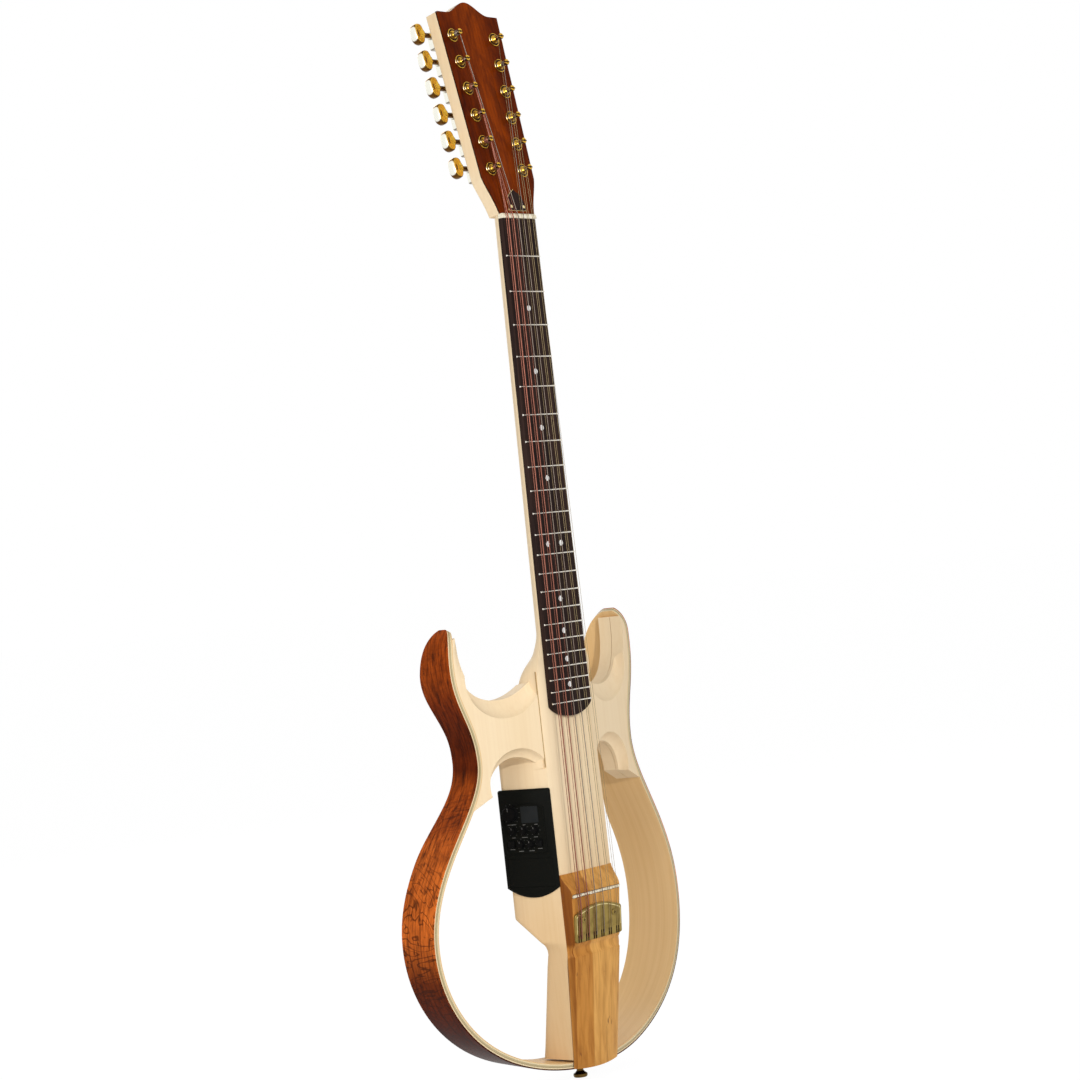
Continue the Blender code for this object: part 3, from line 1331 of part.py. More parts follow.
def tuner_post(side, number, across, along):
    """The string post with its gear, turning about local Z."""
    frame = head_frame() @ Matrix.Translation((across, along, 0))
    gear_top = -HEAD_THICKNESS - STRIP_THICKNESS - 2 * GAP
    shoulder = POST_RADIUS - POST_WAIST_RADIUS
    profile = [(GEAR_RADIUS, gear_top - GEAR_THICKNESS), (GEAR_RADIUS, gear_top), (POST_RADIUS, gear_top),
               (POST_RADIUS, POST_WAIST_LOW - shoulder), (POST_WAIST_RADIUS, POST_WAIST_LOW),
               (POST_WAIST_RADIUS, POST_WAIST_HIGH), (POST_RADIUS, POST_WAIST_HIGH + shoulder),
               (POST_RADIUS, POST_HEIGHT - POST_TIP_HEIGHT), (POST_RADIUS - POST_TIP_INSET, POST_HEIGHT)]
    name = "tuner_post_%s_%d" % ("bass" if side < 0 else "treble", number)
    return turned(name, profile, gold(), 8, frame)


def button_ring(thickness, scale):
    steps = 12
    ring = []
    for i in range(steps):
        angle = 2 * math.pi * i / steps
        ring.append(Vector((BUTTON_HALF_WIDTH * scale * math.cos(angle),
                            BUTTON_HALF_HEIGHT * scale * math.sin(angle), thickness)))
    return ring


def tuner_button(side, number, across, along):
    """Oval button, shaft and worm, turning about local X."""
    frame = (head_frame() @ Matrix.Translation((across, along + WORM_OFFSET, -WORM_DEPTH)))
    worm_end = WORM_HALF_LENGTH
    profile = [(WORM_RADIUS, -worm_end), (WORM_RADIUS, worm_end), (WORM_SHAFT_RADIUS, worm_end),
               (WORM_SHAFT_RADIUS, BUTTON_REACH - BUTTON_SHAFT_INSET)]
    profile = [(r, side * h) for r, h in profile]
    name = "tuner_button_%s_%d" % ("bass" if side < 0 else "treble", number)
    shaft = turned(name, profile, gold(), 8, frame, "X")
    grip_frame = frame @ Matrix.Translation((side * BUTTON_REACH, 0, 0))
    half = BUTTON_HALF_THICKNESS
    flat = half * BUTTON_EDGE_SHARE
    rings = [button_ring(-half, BUTTON_EDGE_SCALE), button_ring(-flat, 1.0), button_ring(flat, 1.0),
             button_ring(half, BUTTON_EDGE_SCALE)]
    grip = loft("grip", rings, gold(), 0.6, grip_frame)
    return fuse(shaft, grip)


def tuners():
    tuner_strip(-1, "tuner_strip_bass")
    tuner_strip(1, "tuner_strip_treble")
    for side, number, across, along in tuner_seats():
        tuner_post(side, number, across, along)
        tuner_button(side, number, across, along)


# Strings

def string_route(number, nut_x, saddle_x, radius):
    """From the tailpiece's slot over saddle and nut to the post."""
    side = -1 if number <= TUNERS_PER_SIDE else 1
    row = number if side < 0 else 2 * TUNERS_PER_SIDE + 1 - number
    across = TUNER_HALF_FIRST + TUNER_HALF_STEP * (row - 1)
    along = TUNER_FIRST + TUNER_PITCH * (row - 1)
    tangent = side * (across - POST_WAIST_RADIUS - GAP - radius)
    clear = GAP + radius
    over = TAILPIECE_THICKNESS + clear
    frame = tailpiece_frame()
    height = TAILPIECE_TOP - TAILPIECE_BOTTOM + TAILPIECE_BULGE
    anchor = frame @ Vector((saddle_x, ANCHOR_BAR_RISE, -ANCHOR_BAR_DEPTH))
    bend = frame @ Vector((saddle_x, ANCHOR_BAR_RISE, over))
    plate_top = frame @ Vector((saddle_x, height, over + GAP))
    on_saddle = Vector((saddle_x, SADDLE_TOP - clear, SADDLE_POSITION))
    on_nut = Vector((nut_x, NUT_TOP - clear, NUT_LENGTH / 4))
    post = head_frame() @ Vector((tangent, along, STRING_HEIGHT_ON_POST))
    return [anchor, bend, plate_top, on_saddle, on_nut, post]


def tube(name, points, radius, sides, look):
    """A round tube along straight runs, mitred where they meet."""
    first = (points[1] - points[0]).normalized()
    across = first.orthogonal().normalized()
    up = first.cross(across)
    ring = []
    for i in range(sides):
        angle = 2 * math.pi * i / sides
        ring.append(points[0] + (across * math.cos(angle) + up * math.sin(angle)) * radius)
    rings = [ring]
    for i in range(1, len(points)):
        run = (points[i] - points[i - 1]).normalized()
        face = run
        if i < len(points) - 1:
            face = (run + (points[i + 1] - points[i]).normalized()).normalized()
        moved = []
        for corner in rings[-1]:
            step = (points[i] - corner).dot(face) / run.dot(face)
            moved.append(corner + run * step)
        rings.append(moved)
    return loft(name, rings, look, 0.9)


def strings():
    """Twelve strings that share one anchor bar behind the tailpiece."""
    wires = []
    for number, nut_x, saddle_x, radius in string_rows():
        route = string_route(number, nut_x, saddle_x, radius)
        wires.append(tube("wire", route, radius, STRING_SIDES, steel()))
    reach = SADDLE_COURSE_SPREAD / 2 + ANCHOR_BAR_OVERHANG
    profile = [(ANCHOR_BAR_RADIUS, -reach), (ANCHOR_BAR_RADIUS, reach)]
    frame = tailpiece_frame() @ Matrix.Translation((0, ANCHOR_BAR_RISE, -ANCHOR_BAR_DEPTH))
    bar = turned("strings", profile, steel(), 12, frame, "X")
    return fuse(bar, take(*wires))


def build():
    clear_scene()
    neck()
    veneer()
    truss_cover()
    truss_rod()
    fingerboard()
    nut()
    wings()
    rim()
    tail_block()
    pickup()
    saddle()
    tailpiece()
    tailpiece_screws()
    housing()
    panel()
    display()
    controls()
    battery()
    battery_door()
    jack()
    strap_pin()
    tuners()
    strings()


build()
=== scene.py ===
from math import asin, atan, atan2, copysign, cos, pi, radians, sin, sqrt, tan

import bmesh
import bpy
from mathutils import Matrix, Vector


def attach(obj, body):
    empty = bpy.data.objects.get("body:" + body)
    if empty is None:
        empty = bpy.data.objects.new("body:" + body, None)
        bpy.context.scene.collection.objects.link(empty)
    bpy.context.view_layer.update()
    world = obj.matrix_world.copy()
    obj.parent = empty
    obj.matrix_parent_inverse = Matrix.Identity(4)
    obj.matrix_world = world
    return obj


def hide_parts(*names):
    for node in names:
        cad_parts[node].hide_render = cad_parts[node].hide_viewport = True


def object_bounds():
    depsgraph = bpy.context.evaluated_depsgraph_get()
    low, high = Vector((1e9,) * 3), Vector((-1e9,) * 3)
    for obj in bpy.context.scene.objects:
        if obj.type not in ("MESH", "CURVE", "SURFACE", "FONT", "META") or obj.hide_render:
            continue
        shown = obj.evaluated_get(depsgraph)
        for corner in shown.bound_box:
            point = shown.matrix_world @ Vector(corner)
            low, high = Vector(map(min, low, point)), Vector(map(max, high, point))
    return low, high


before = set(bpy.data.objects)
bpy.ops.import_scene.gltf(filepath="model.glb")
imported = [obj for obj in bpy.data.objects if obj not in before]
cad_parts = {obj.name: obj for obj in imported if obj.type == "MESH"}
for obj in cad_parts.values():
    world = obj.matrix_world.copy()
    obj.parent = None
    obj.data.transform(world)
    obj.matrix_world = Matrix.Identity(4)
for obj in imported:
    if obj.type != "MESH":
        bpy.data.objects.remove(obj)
CAD_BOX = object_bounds()

GUITAR = "guitar"

# Sizes shared with the solids, in metres
SCALE_LENGTH = 0.650
FRET_COUNT = 22
BOARD_HALF_AT_NUT = 0.0240
BOARD_HALF_AT_END = 0.0286
BOARD_LENGTH = SCALE_LENGTH * (1 - 2 ** (-FRET_COUNT / 12)) + 0.0024
BOARD_END_BULGE = 0.0112
BOARD_TOP = 0.0010
BOARD_BOTTOM = 0.0062
BEAM_FRONT = 0.0065
BEAM_HALF = 0.0380
BEAM_BACK = 0.0400
HOUSING_BACK = 0.0625
FLARE = tan(radians(13.0))
WING_SLOPE = atan(0.24)
WING_HINGE_X = 0.0370
WING_HINGE_Y = 0.0090
WING_LAYER = 0.0130
RIM_THICKNESS = 0.0064
TAIL_Z = -0.8166
RIM_CROWN_HALF = 0.075
TAIL_SETBACK = 0.0112
HEAD_ANGLE = radians(10.35)
HEAD_DROP = 0.0009
HEAD_LENGTH = 0.2115
TUNER_FIRST = 0.0500
TUNER_PITCH = 0.02739
TUNER_HALF_FIRST = 0.0227
TUNER_HALF_STEP = 0.0014
POST_WAIST = 0.0019
SADDLE_Z = -0.6503
SADDLE_TOP = -0.0050
PANEL_TOP = -0.5455
PANEL_WIDTH = 0.0570
PANEL_FACE = 0.0025
COURSE_RADII = (0.00065, 0.00056, 0.00045, 0.00036, 0.00022, 0.00018)
OCTAVE_RADII = (0.00034, 0.00026, 0.00020, 0.00015, 0.00022, 0.00018)
PUSH_BUTTONS = (("phase_button", (0.0113, 0.0515)), ("tuning_meter_button", (0.0412, 0.0515)))

# Each knob's seat on the panel and the radius of its scale
KNOBS = (("volume_knob", (0.0130, 0.0228), 0.0092), ("bass_knob", (0.0137, 0.0390), 0.0052),
         ("middle_knob", (0.0257, 0.0390), 0.0052), ("treble_knob", (0.0377, 0.0390), 0.0052),
         ("notch_knob", (0.0210, 0.0521), 0.0050), ("blend_knob", (0.0316, 0.0521), 0.0050))

CUT_BOTTOM = Vector((0.0760, -0.4572))
CUT_NECK = Vector((0.0320, -0.4335))
CUT_HORN = Vector((0.1205, -0.3938))
WINDOW_CENTRE = Vector((0.0668, -0.5450))
WINDOW_HIGH = 0.0322
WINDOW_FOOT = -0.5565
BLOCK_START = -0.6292
BLOCK_CREST = -0.6480
BLOCK_TOP = -0.0036
KNEE_Z = -0.700
KNEE_FRONT = 0.0015
KNEE_HALF = 0.0337
TAIL_BOW = 0.0021
WRAP_TOP = 0.0078


# Small maths

def mix(a, b, share):
    return a + (b - a) * share


def ease(value, start, end):
    share = min(1.0, max(0.0, (value - start) / (end - start)))
    return share * share * (3 - 2 * share)


def bezier(a, b, c, d, steps, first=0):
    points = []
    for i in range(first, steps + 1):
        t = i / steps
        u = 1 - t
        points.append(Vector(a) * u ** 3 + Vector(b) * 3 * u * u * t
                      + Vector(c) * 3 * u * t * t + Vector(d) * t ** 3)
    return points


def arc(cx, cy, radius, first, steps, turn=90, rise=None):
    """Points of an arc from an angle in degrees; the rise can flatten it."""
    rise = radius if rise is None else rise
    angles = [radians(first + turn * i / steps) for i in range(steps + 1)]
    return [Vector((cx + radius * cos(a), cy + rise * sin(a))) for a in angles]


def other_half(points):
    return [Vector((-p.x, p.y)) for p in reversed(points)]


def shift(x, y, z):
    return Matrix.Translation((x, y, z))


def axes(a, b, c):
    """The turn that takes X, Y and Z to three directions."""
    return Matrix((a, b, c)).transposed().to_4x4()


# Materials

class Shader:
    """A small builder of node materials, on the object's place or along a strip."""

    def __init__(self, name, strip=False):
        self.material = bpy.data.materials.new(name)
        self.material.use_nodes = True
        self.tree = self.material.node_tree
        self.surface = self.tree.nodes["Principled BSDF"]
        self.place = self.node("ShaderNodeTexCoord").outputs["Object"]
        self.grain = self.place
        if strip:
            self.grain = self.node("ShaderNodeUVMap", uv_map="strip").outputs["UV"]

    def node(self, kind, inputs=(), **values):
        made = self.tree.nodes.new(kind)
        for key, value in values.items():
            setattr(made, key, value)
        for key, value in dict(inputs).items():
            if hasattr(value, "links"):
                self.tree.links.new(value, made.inputs[key])
            elif isinstance(key, int) and isinstance(value, tuple):
                made.inputs[key].default_value = (*value, 1.0)
            else:
                made.inputs[key].default_value = value
        return made

    def texture(self, kind, scale, inputs, **values):
        vector = self.node("ShaderNodeMapping", {"Scale": scale, "Vector": self.grain}).outputs["Vector"]
        return self.node(kind, {"Scale": 1.0, "Vector": vector, **inputs}, **values).outputs["Fac"]

    def noise(self, scale, detail, distortion=0.0, rough=0.5):
        return self.texture("ShaderNodeTexNoise", scale,
                            {"Detail": detail, "Distortion": distortion, "Roughness": rough})

    def wave(self, scale, distortion, detail, direction):
        return self.texture("ShaderNodeTexWave", scale, {"Detail": detail, "Distortion": distortion},
                            wave_type="BANDS", bands_direction=direction)

    def ramp(self, value, *stops):
        """A colour ramp; a stop's colour can be one number for a grey."""
        made = self.node("ShaderNodeValToRGB", {"Fac": value})
        elements = made.color_ramp.elements
        while len(elements) < len(stops):
            elements.new(0.5)
        for element, (place, colour) in zip(elements, stops):
            element.position = place
            colour = colour if isinstance(colour, tuple) else (colour,) * 3
            element.color = (*colour, 1.0)
        return made.outputs["Color"]

    def blend(self, a, b, share, mode="MIX"):
        made = self.node("ShaderNodeMix", {6: a, 7: b, 0: share}, data_type="RGBA", blend_type=mode)
        return made.outputs[2]

    def multiply(self, a, b):
        return self.blend(a, b, 1.0, "MULTIPLY")

    def maths(self, operation, *values):
        return self.node("ShaderNodeMath", enumerate(values), operation=operation).outputs["Value"]

    def magnitude(self, value):
        return self.maths("ABSOLUTE", value)

    def share(self, colour, factor):
        """A grey turned into a number and multiplied."""
        return self.maths("MULTIPLY", self.node("ShaderNodeRGBToBW", {"Color": colour}).outputs["Val"], factor)

    def contours(self, value, times):
        """0 along the contour lines of a value, 1 between them."""
        return self.magnitude(self.maths("SINE", self.maths("MULTIPLY", value, times)))

    def part(self, vector, name):
        return self.node("ShaderNodeSeparateXYZ", {"Vector": vector}).outputs[name]

    def axis(self, name):
        return self.part(self.place, name)

    def facing(self, name):
        """One part of the surface's direction, in the piece's own axes."""
        return self.part(self.node("ShaderNodeTexCoord").outputs["Normal"], name)

    def between(self, value, low, high, ends="From"):
        """A number from 0 to 1 between two values, or the other way round with the ends at To."""
        return self.node("ShaderNodeMapRange",
                         {"Value": value, ends + " Min": low, ends + " Max": high}).outputs["Result"]

    def finish(self, tone, rough=None, relief=None, **values):
        """Join the colour, a grain for the roughness and one for the relief, and give the material."""
        self.tree.links.new(tone, self.surface.inputs["Base Color"])
        if rough:
            self.tree.links.new(self.between(*rough, "To"), self.surface.inputs["Roughness"])
        if relief:
            height, strength, distance = relief
            bump = self.node("ShaderNodeBump", {"Height": height, "Strength": strength, "Distance": distance})
            self.tree.links.new(bump.outputs["Normal"], self.surface.inputs["Normal"])
        for key, value in values.items():
            self.surface.inputs[key.replace("_", " ")].default_value = value
        return self.material


def maple_look(name, pale, mid, dark, strip=False):
    """Pale wood: fine lines along the grain and a slow tone change."""
    s = Shader(name, strip)
    fine = s.noise((6, 420, 1), 5, 0.4) if strip else s.noise((300, 300, 6), 5, 0.5)
    slow = s.noise((3, 9, 1), 2, 0.6) if strip else s.noise((26, 26, 1.6), 2, 0.5)
    lines = s.ramp(fine, (0.36, dark), (0.56, pale))
    tone = s.blend(s.ramp(slow, (0.34, mid), (0.62, pale)), lines, 0.16)
    if not strip:
        tone = s.multiply(tone, s.ramp(s.between(s.axis("Z"), -0.56, -0.68), (0, 1), (1, (0.91, 0.83, 0.72))))
    return s.finish(tone, (fine, 0.40, 0.52), (fine, 0.04, 0.0004), Specular_IOR_Level=0.12)


def birch_look(name, light, mid, dark):
    """The rim's inner face: cathedral arches that run along the strip."""
    s = Shader(name, True)
    fine = s.noise((9, 500, 1), 4, 0.3)
    arches = s.ramp(s.wave((2.4, 34, 1), 5.5, 2.0, "Y"), (0.12, dark), (0.38, mid), (0.80, light))
    tone = s.blend(s.ramp(s.noise((2.2, 7, 1), 2, 0.8), (0.32, mid), (0.66, light)), arches, 0.15)
    tone = s.blend(tone, s.ramp(fine, (0.40, dark), (0.58, light)), 0.14)
    return s.finish(tone, (fine, 0.36, 0.48), (fine, 0.04, 0.0004), Specular_IOR_Level=0.15)


BUBINGA_DEEP = (0.040, 0.008, 0.003)


def bubinga(s, red, bright, figure, fine, slow, veins, vein_share):
    """Reddish wood with a dark wavy figure, before it is shaded."""
    figured = s.ramp(figure, (0.34, BUBINGA_DEEP), (0.45, red), (0.60, bright))
    tone = s.blend(s.ramp(slow, (0.30, red), (0.62, bright)), figured, 0.50)
    tone = s.blend(tone, BUBINGA_DEEP, s.share(s.ramp(veins, (0.03, 1), (0.16, 0)), vein_share))
    return s.blend(tone, s.ramp(fine, (0.38, BUBINGA_DEEP), (0.60, bright)), 0.16)


def head_look():
    """The headstock's veneer: painted shade darkens it towards both flanks, with a thin gloss."""
    s = Shader("bubinga_look")
    fine = s.noise((360, 360, 26), 5, 0.8)
    tone = bubinga(s, (0.125, 0.018, 0.002), (0.29, 0.046, 0.002), s.noise((46, 46, 13), 5, 1.6, 0.6), fine,
                   s.noise((22, 22, 9), 3, 1.0), s.wave((70, 70, 5), 5, 3, "X"), 0.25)
    # Painted shade: the veneer gets darker towards both flanks.
    shade = s.ramp(s.between(s.magnitude(s.axis("X")), 0.006, 0.036),
                   (0.0, 1), (0.6, (0.62, 0.55, 0.70)), (1.0, (0.50, 0.42, 0.60)))
    return s.finish(s.multiply(tone, shade), (fine, 0.26, 0.38), Coat_Weight=0.03, Coat_Roughness=0.06,
                    Specular_IOR_Level=0.01)


def rim_look():
    """The rim's veneer with painted light and shade: bright at hip and horn, dark at waist and tail, with wavy
    lines across.
    """
    s = Shader("bubinga_rim_look", True)
    fine = s.noise((90, 380, 1), 5, 1.0)
    tone = bubinga(s, (0.42, 0.078, 0.010), (0.88, 0.205, 0.030), s.noise((22, 44, 1), 6, 1.8, 0.62), fine,
                   s.noise((5, 5, 1), 2, 1.0), s.wave((7, 40, 1), 16, 4, "Y"), 0.45)
    rise = s.between(s.axis("Z"), TAIL_Z, -0.385)
    # Painted light and shade along the rim: bright at hip and horn, dark at waist and tail.
    shade = s.ramp(rise, (0.0, (0.12, 0.085, 0.07)), (0.12, (0.085, 0.045, 0.04)), (0.19, (0.14, 0.085, 0.07)),
                   (0.25, (0.22, 0.16, 0.15)), (0.34, (0.95, 0.92, 0.9)), (0.50, 1), (0.58, (0.66, 0.56, 0.48)),
                   (0.655, (0.60, 0.50, 0.42)), (0.69, (0.22, 0.14, 0.12)), (0.76, (0.19, 0.125, 0.11)),
                   (0.83, (0.30, 0.20, 0.17)), (0.90, (0.55, 0.44, 0.36)), (1.0, (0.64, 0.52, 0.42)))
    tone = s.multiply(tone, shade)
    lines = s.ramp(s.contours(s.noise((15, 7, 1), 4, 0.8, 0.55), 66.0), (0.13, 1), (0.44, 0))
    where = s.ramp(rise, (0.10, 0.3), (0.20, 1), (0.44, 1), (0.54, 0.2), (0.60, 0.8), (0.66, 0.2))
    tone = s.blend(tone, BUBINGA_DEEP, s.share(s.multiply(lines, where), 0.72))
    dashes = s.ramp(s.noise((60, 300, 1), 4, 0.8), (0.34, 1), (0.43, 0))
    tone = s.blend(tone, BUBINGA_DEEP, s.share(dashes, 0.70))
    return s.finish(tone, (fine, 0.26, 0.38), Coat_Weight=0.0, Coat_Roughness=0.06, Specular_IOR_Level=0.01)


def honey_look():
    """Honey-coloured wood of the tail block, glued from two boards, with painted shade on its sides."""
    s = Shader("honey_wood_look")
    light, mid, dark = (0.78, 0.425, 0.120), (0.66, 0.325, 0.080), (0.34, 0.130, 0.022)
    fine = s.noise((300, 300, 9), 5, 0.5)
    bands = s.ramp(s.noise((75, 75, 3.2), 4, 1.3), (0.34, dark), (0.47, mid), (0.64, light))
    tone = s.blend(s.ramp(s.noise((24, 24, 3), 2, 0.8), (0.32, mid), (0.66, light)), bands, 0.5)
    tone = s.blend(tone, s.ramp(fine, (0.34, dark), (0.58, light)), 0.28)
    left_board = s.maths("MULTIPLY", s.between(s.axis("X"), -0.0085, -0.0100), 0.75)
    tone = s.blend(tone, s.multiply(tone, (0.66, 0.48, 0.26)), left_board)
    # Painted shade: faces that point sideways are darker.
    flank = s.between(s.magnitude(s.facing("X")), 0.60, 0.80)
    tone = s.blend(tone, s.multiply(tone, (0.42, 0.30, 0.16)), flank)
    knots = s.between(s.noise((150, 150, 42), 2), 0.715, 0.755)
    return s.finish(s.blend(tone, (0.16, 0.055, 0.02), knots), (fine, 0.36, 0.50), (fine, 0.06, 0.0004),
                    Specular_IOR_Level=0.12)


def rosewood_look():
    s = Shader("rosewood_look")
    fine = s.noise((520, 520, 11), 5, 0.4)
    broad = s.ramp(s.noise((120, 120, 5), 3, 1.0), (0.35, (0.010, 0.006, 0.006)), (0.65, (0.032, 0.017, 0.014)))
    lines = s.ramp(fine, (0.38, (0.004, 0.003, 0.003)), (0.60, (0.045, 0.024, 0.018)))
    return s.finish(s.blend(broad, lines, 0.4), (fine, 0.45, 0.62), (fine, 0.12, 0.0004),
                    Specular_IOR_Level=0.06)


def metal_look(name, colour, dark, rough, wear=0.25, shade=0.0):
    """Plated metal with faint clouding; a shade adds painted reflections and shade by the surface's direction:
    dark stripes, and pale ends that are painted highlights.
    """
    s = Shader(name)
    cloud = s.noise((160, 160, 160), 3, 0.4)
    tone = s.blend(colour, dark, s.maths("MULTIPLY", s.between(cloud, 0.42, 0.75), wear))
    if shade:
        # Painted reflection and shade: faces tilted down, and a band of faces tilted up, are darker.
        painted_tilt_shade = s.ramp(s.between(s.facing("Z"), -1.0, 1.0),
                         (0.0, 1), (0.34, 1), (0.45, 0), (0.66, 0), (0.74, 0.8), (0.84, 0.1))
        # Painted reflection: a dark stripe on faces turned a little inwards and on faces turned outwards.
        outwards = s.maths("MULTIPLY", s.maths("SIGN", s.axis("X")), s.facing("X"))
        aside = s.ramp(s.between(outwards, -1.0, 1.0), (0.30, 0), (0.36, 1), (0.452, 1), (0.482, 0),
                       (0.78, 0), (0.84, 1), (0.92, 0.9), (0.955, 0))
        for painted_stripes in (painted_tilt_shade, aside):
            tone = s.blend(tone, dark, s.share(painted_stripes, shade))
        # Painted highlight: pale where the surface faces sideways.
        tone = s.blend(tone, (0.93, 0.92, 0.82), s.between(s.magnitude(s.facing("X")), 0.86, 0.93))
    return s.finish(tone, (cloud, rough * 0.8, rough * 1.4), Metallic=1.0)


def wound_look(name, light, dark):
    """Wire wound round a core: fine rings along the string."""
    s = Shader(name)
    rings = s.ramp(s.wave((1, 1, 900), 0, 0, "Z"), (0.15, dark), (0.60, light))
    return s.finish(rings, Metallic=0.85, Roughness=0.45)


def plastic_look(name, colour, lift, rough, grain=900.0):
    """Moulded plastic with a fine texture."""
    s = Shader(name)
    speck = s.noise((grain, grain, grain), 3)
    return s.finish(s.ramp(speck, (0.35, colour), (0.70, lift)), (speck, rough * 0.85, rough * 1.15),
                    (speck, 0.08, 0.0002), Coat_Weight=0.0, Coat_Roughness=0.08, Specular_IOR_Level=0.03)


def pearl_look():
    s = Shader("pearl_look")
    cloud = s.ramp(s.noise((500, 500, 500), 3, 1.5),
                   (0.35, (0.80, 0.82, 0.84)), (0.50, (0.95, 0.94, 0.91)), (0.65, (0.88, 0.92, 0.90)))
    return s.finish(cloud, Roughness=0.22, Coat_Weight=0.8, Coat_Roughness=0.05)


def bone_look():
    s = Shader("bone_look")
    cloud = s.noise((220, 60, 220), 4, 0.6)
    return s.finish(s.ramp(cloud, (0.35, (0.72, 0.63, 0.44)), (0.62, (0.88, 0.82, 0.66))), (cloud, 0.34, 0.46))


MAPLE = maple_look("maple_look", (0.870, 0.692, 0.458), (0.835, 0.648, 0.408), (0.740, 0.520, 0.285))
MAPLE_PLY = maple_look("maple_ply_look", (0.80, 0.66, 0.42), (0.72, 0.57, 0.34), (0.58, 0.43, 0.23), True)
BIRCH = birch_look("birch_look", (0.80, 0.545, 0.270), (0.73, 0.470, 0.205), (0.63, 0.375, 0.145))
OLIVE_PLY = maple_look("olive_ply_look", (0.52, 0.43, 0.25), (0.44, 0.36, 0.20), (0.30, 0.24, 0.12), True)
PLY_LINE = maple_look("ply_line_look", (0.34, 0.25, 0.13), (0.28, 0.19, 0.09), (0.20, 0.13, 0.06), True)
BUBINGA = head_look()
BUBINGA_RIM = rim_look()
HONEY = honey_look()
ROSEWOOD = rosewood_look()
GOLD = metal_look("gold_look", (0.74, 0.43, 0.050), (0.11, 0.045, 0.008), 0.24, 0.0, 0.95)
OLD_GOLD = metal_look("old_gold_look", (0.33, 0.235, 0.065), (0.15, 0.10, 0.028), 0.34, 0.6)
# The cases' gold is nearly white: a painted highlight of the polished metal.
CASE_HIGHLIGHT_GOLD = metal_look("case_gold_painted_highlight_look", (0.92, 0.88, 0.74), (0.10, 0.06, 0.03), 0.16, 0.0, 0.6)
BRIGHT_GOLD = metal_look("bright_gold_look", (0.78, 0.66, 0.33), (0.45, 0.33, 0.12), 0.22)
DARK_GOLD = metal_look("dark_gold_look", (0.13, 0.075, 0.02), (0.03, 0.015, 0.006), 0.30, 0.9)
STEEL = metal_look("steel_look", (0.34, 0.28, 0.25), (0.20, 0.16, 0.14), 0.24)
FRET_STEEL = metal_look("fret_look", (0.80, 0.76, 0.68), (0.60, 0.55, 0.46), 0.22)
STRING_STEEL = metal_look("string_steel_look", (0.30, 0.225, 0.12), (0.18, 0.125, 0.06), 0.45)
COPPER_WOUND = wound_look("copper_wound_look", (0.33, 0.125, 0.085), (0.15, 0.05, 0.03))
STEEL_WOUND = wound_look("steel_wound_look", (0.27, 0.21, 0.17), (0.12, 0.09, 0.07))
BLACK = plastic_look("black_panel_look", (0.0052, 0.0056, 0.0046), (0.0076, 0.0080, 0.0068), 0.45)
BLACK_SMOOTH = plastic_look("black_knob_look", (0.0045, 0.0045, 0.0045), (0.0070, 0.0070, 0.0070), 0.34, 600.0)
GLASS = plastic_look("display_look", (0.0175, 0.0195, 0.0205), (0.0200, 0.0220, 0.0232), 0.30, 120.0)
MARK = plastic_look("mark_look", (0.17, 0.17, 0.165), (0.22, 0.22, 0.21), 0.5)
# A brown look that paints the shadow in the step between the beam and the wings.
STEP_SHADOW = plastic_look("step_shadow_look", (0.40, 0.26, 0.12), (0.46, 0.31, 0.15), 0.5)
DARK_LINE = plastic_look("dark_line_look", (0.020, 0.008, 0.005), (0.035, 0.015, 0.010), 0.4)
PEARL = pearl_look()
BONE = bone_look()


# Meshes

def piece(name, vertices, faces, look, slot, body=GUITAR, stands=(), place=None, angle=0.6, strip=None):
    """A finished piece: outward faces, smooth shading, material, and its body when a slot is given."""
    mesh = bpy.data.meshes.new(name)
    mesh.from_pydata([tuple(v) for v in vertices], [], faces)
    if strip is not None:
        layer = mesh.uv_layers.new(name="strip")
        for loop in mesh.loops:
            layer.data[loop.index].uv = strip[loop.vertex_index]
    work = bmesh.new()
    work.from_mesh(mesh)
    bmesh.ops.recalc_face_normals(work, faces=work.faces)
    work.to_mesh(mesh)
    work.free()
    if place is not None:
        mesh.transform(place)
    mesh.shade_smooth()
    mesh.set_sharp_from_angle(angle=angle)
    mesh.materials.append(look)
    return settle(name, mesh, slot, body, stands)


def settle(name, mesh, slot, body=GUITAR, stands=()):
    """The object of a mesh; without a slot it is only a tool."""
    made = bpy.data.objects.new(name, mesh)
    bpy.context.scene.collection.objects.link(made)
    if slot is not None:
        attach(made, body)
        if stands:
            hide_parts(*stands)
    return made


def loft_data(rings, base=0, closed=False):
    """Corners and faces from ring to ring, with capped ends or back to the first."""
    count = len(rings[0])
    faces = []
    for r in range(len(rings) if closed else len(rings) - 1):
        a = base + r * count
        b = base + (r + 1) % len(rings) * count
        for i in range(count):
            j = (i + 1) % count
            faces.append((a + i, a + j, b + j, b + i))
    if not closed:
        last = base + (len(rings) - 1) * count
        faces.append(tuple(base + i for i in range(count)))
        faces.append(tuple(last + i for i in reversed(range(count))))
    return [point for ring in rings for point in ring], faces


def loft(name, rings, look, slot, closed=False, **more):
    return piece(name, *loft_data(rings, 0, closed), look, slot, **more)


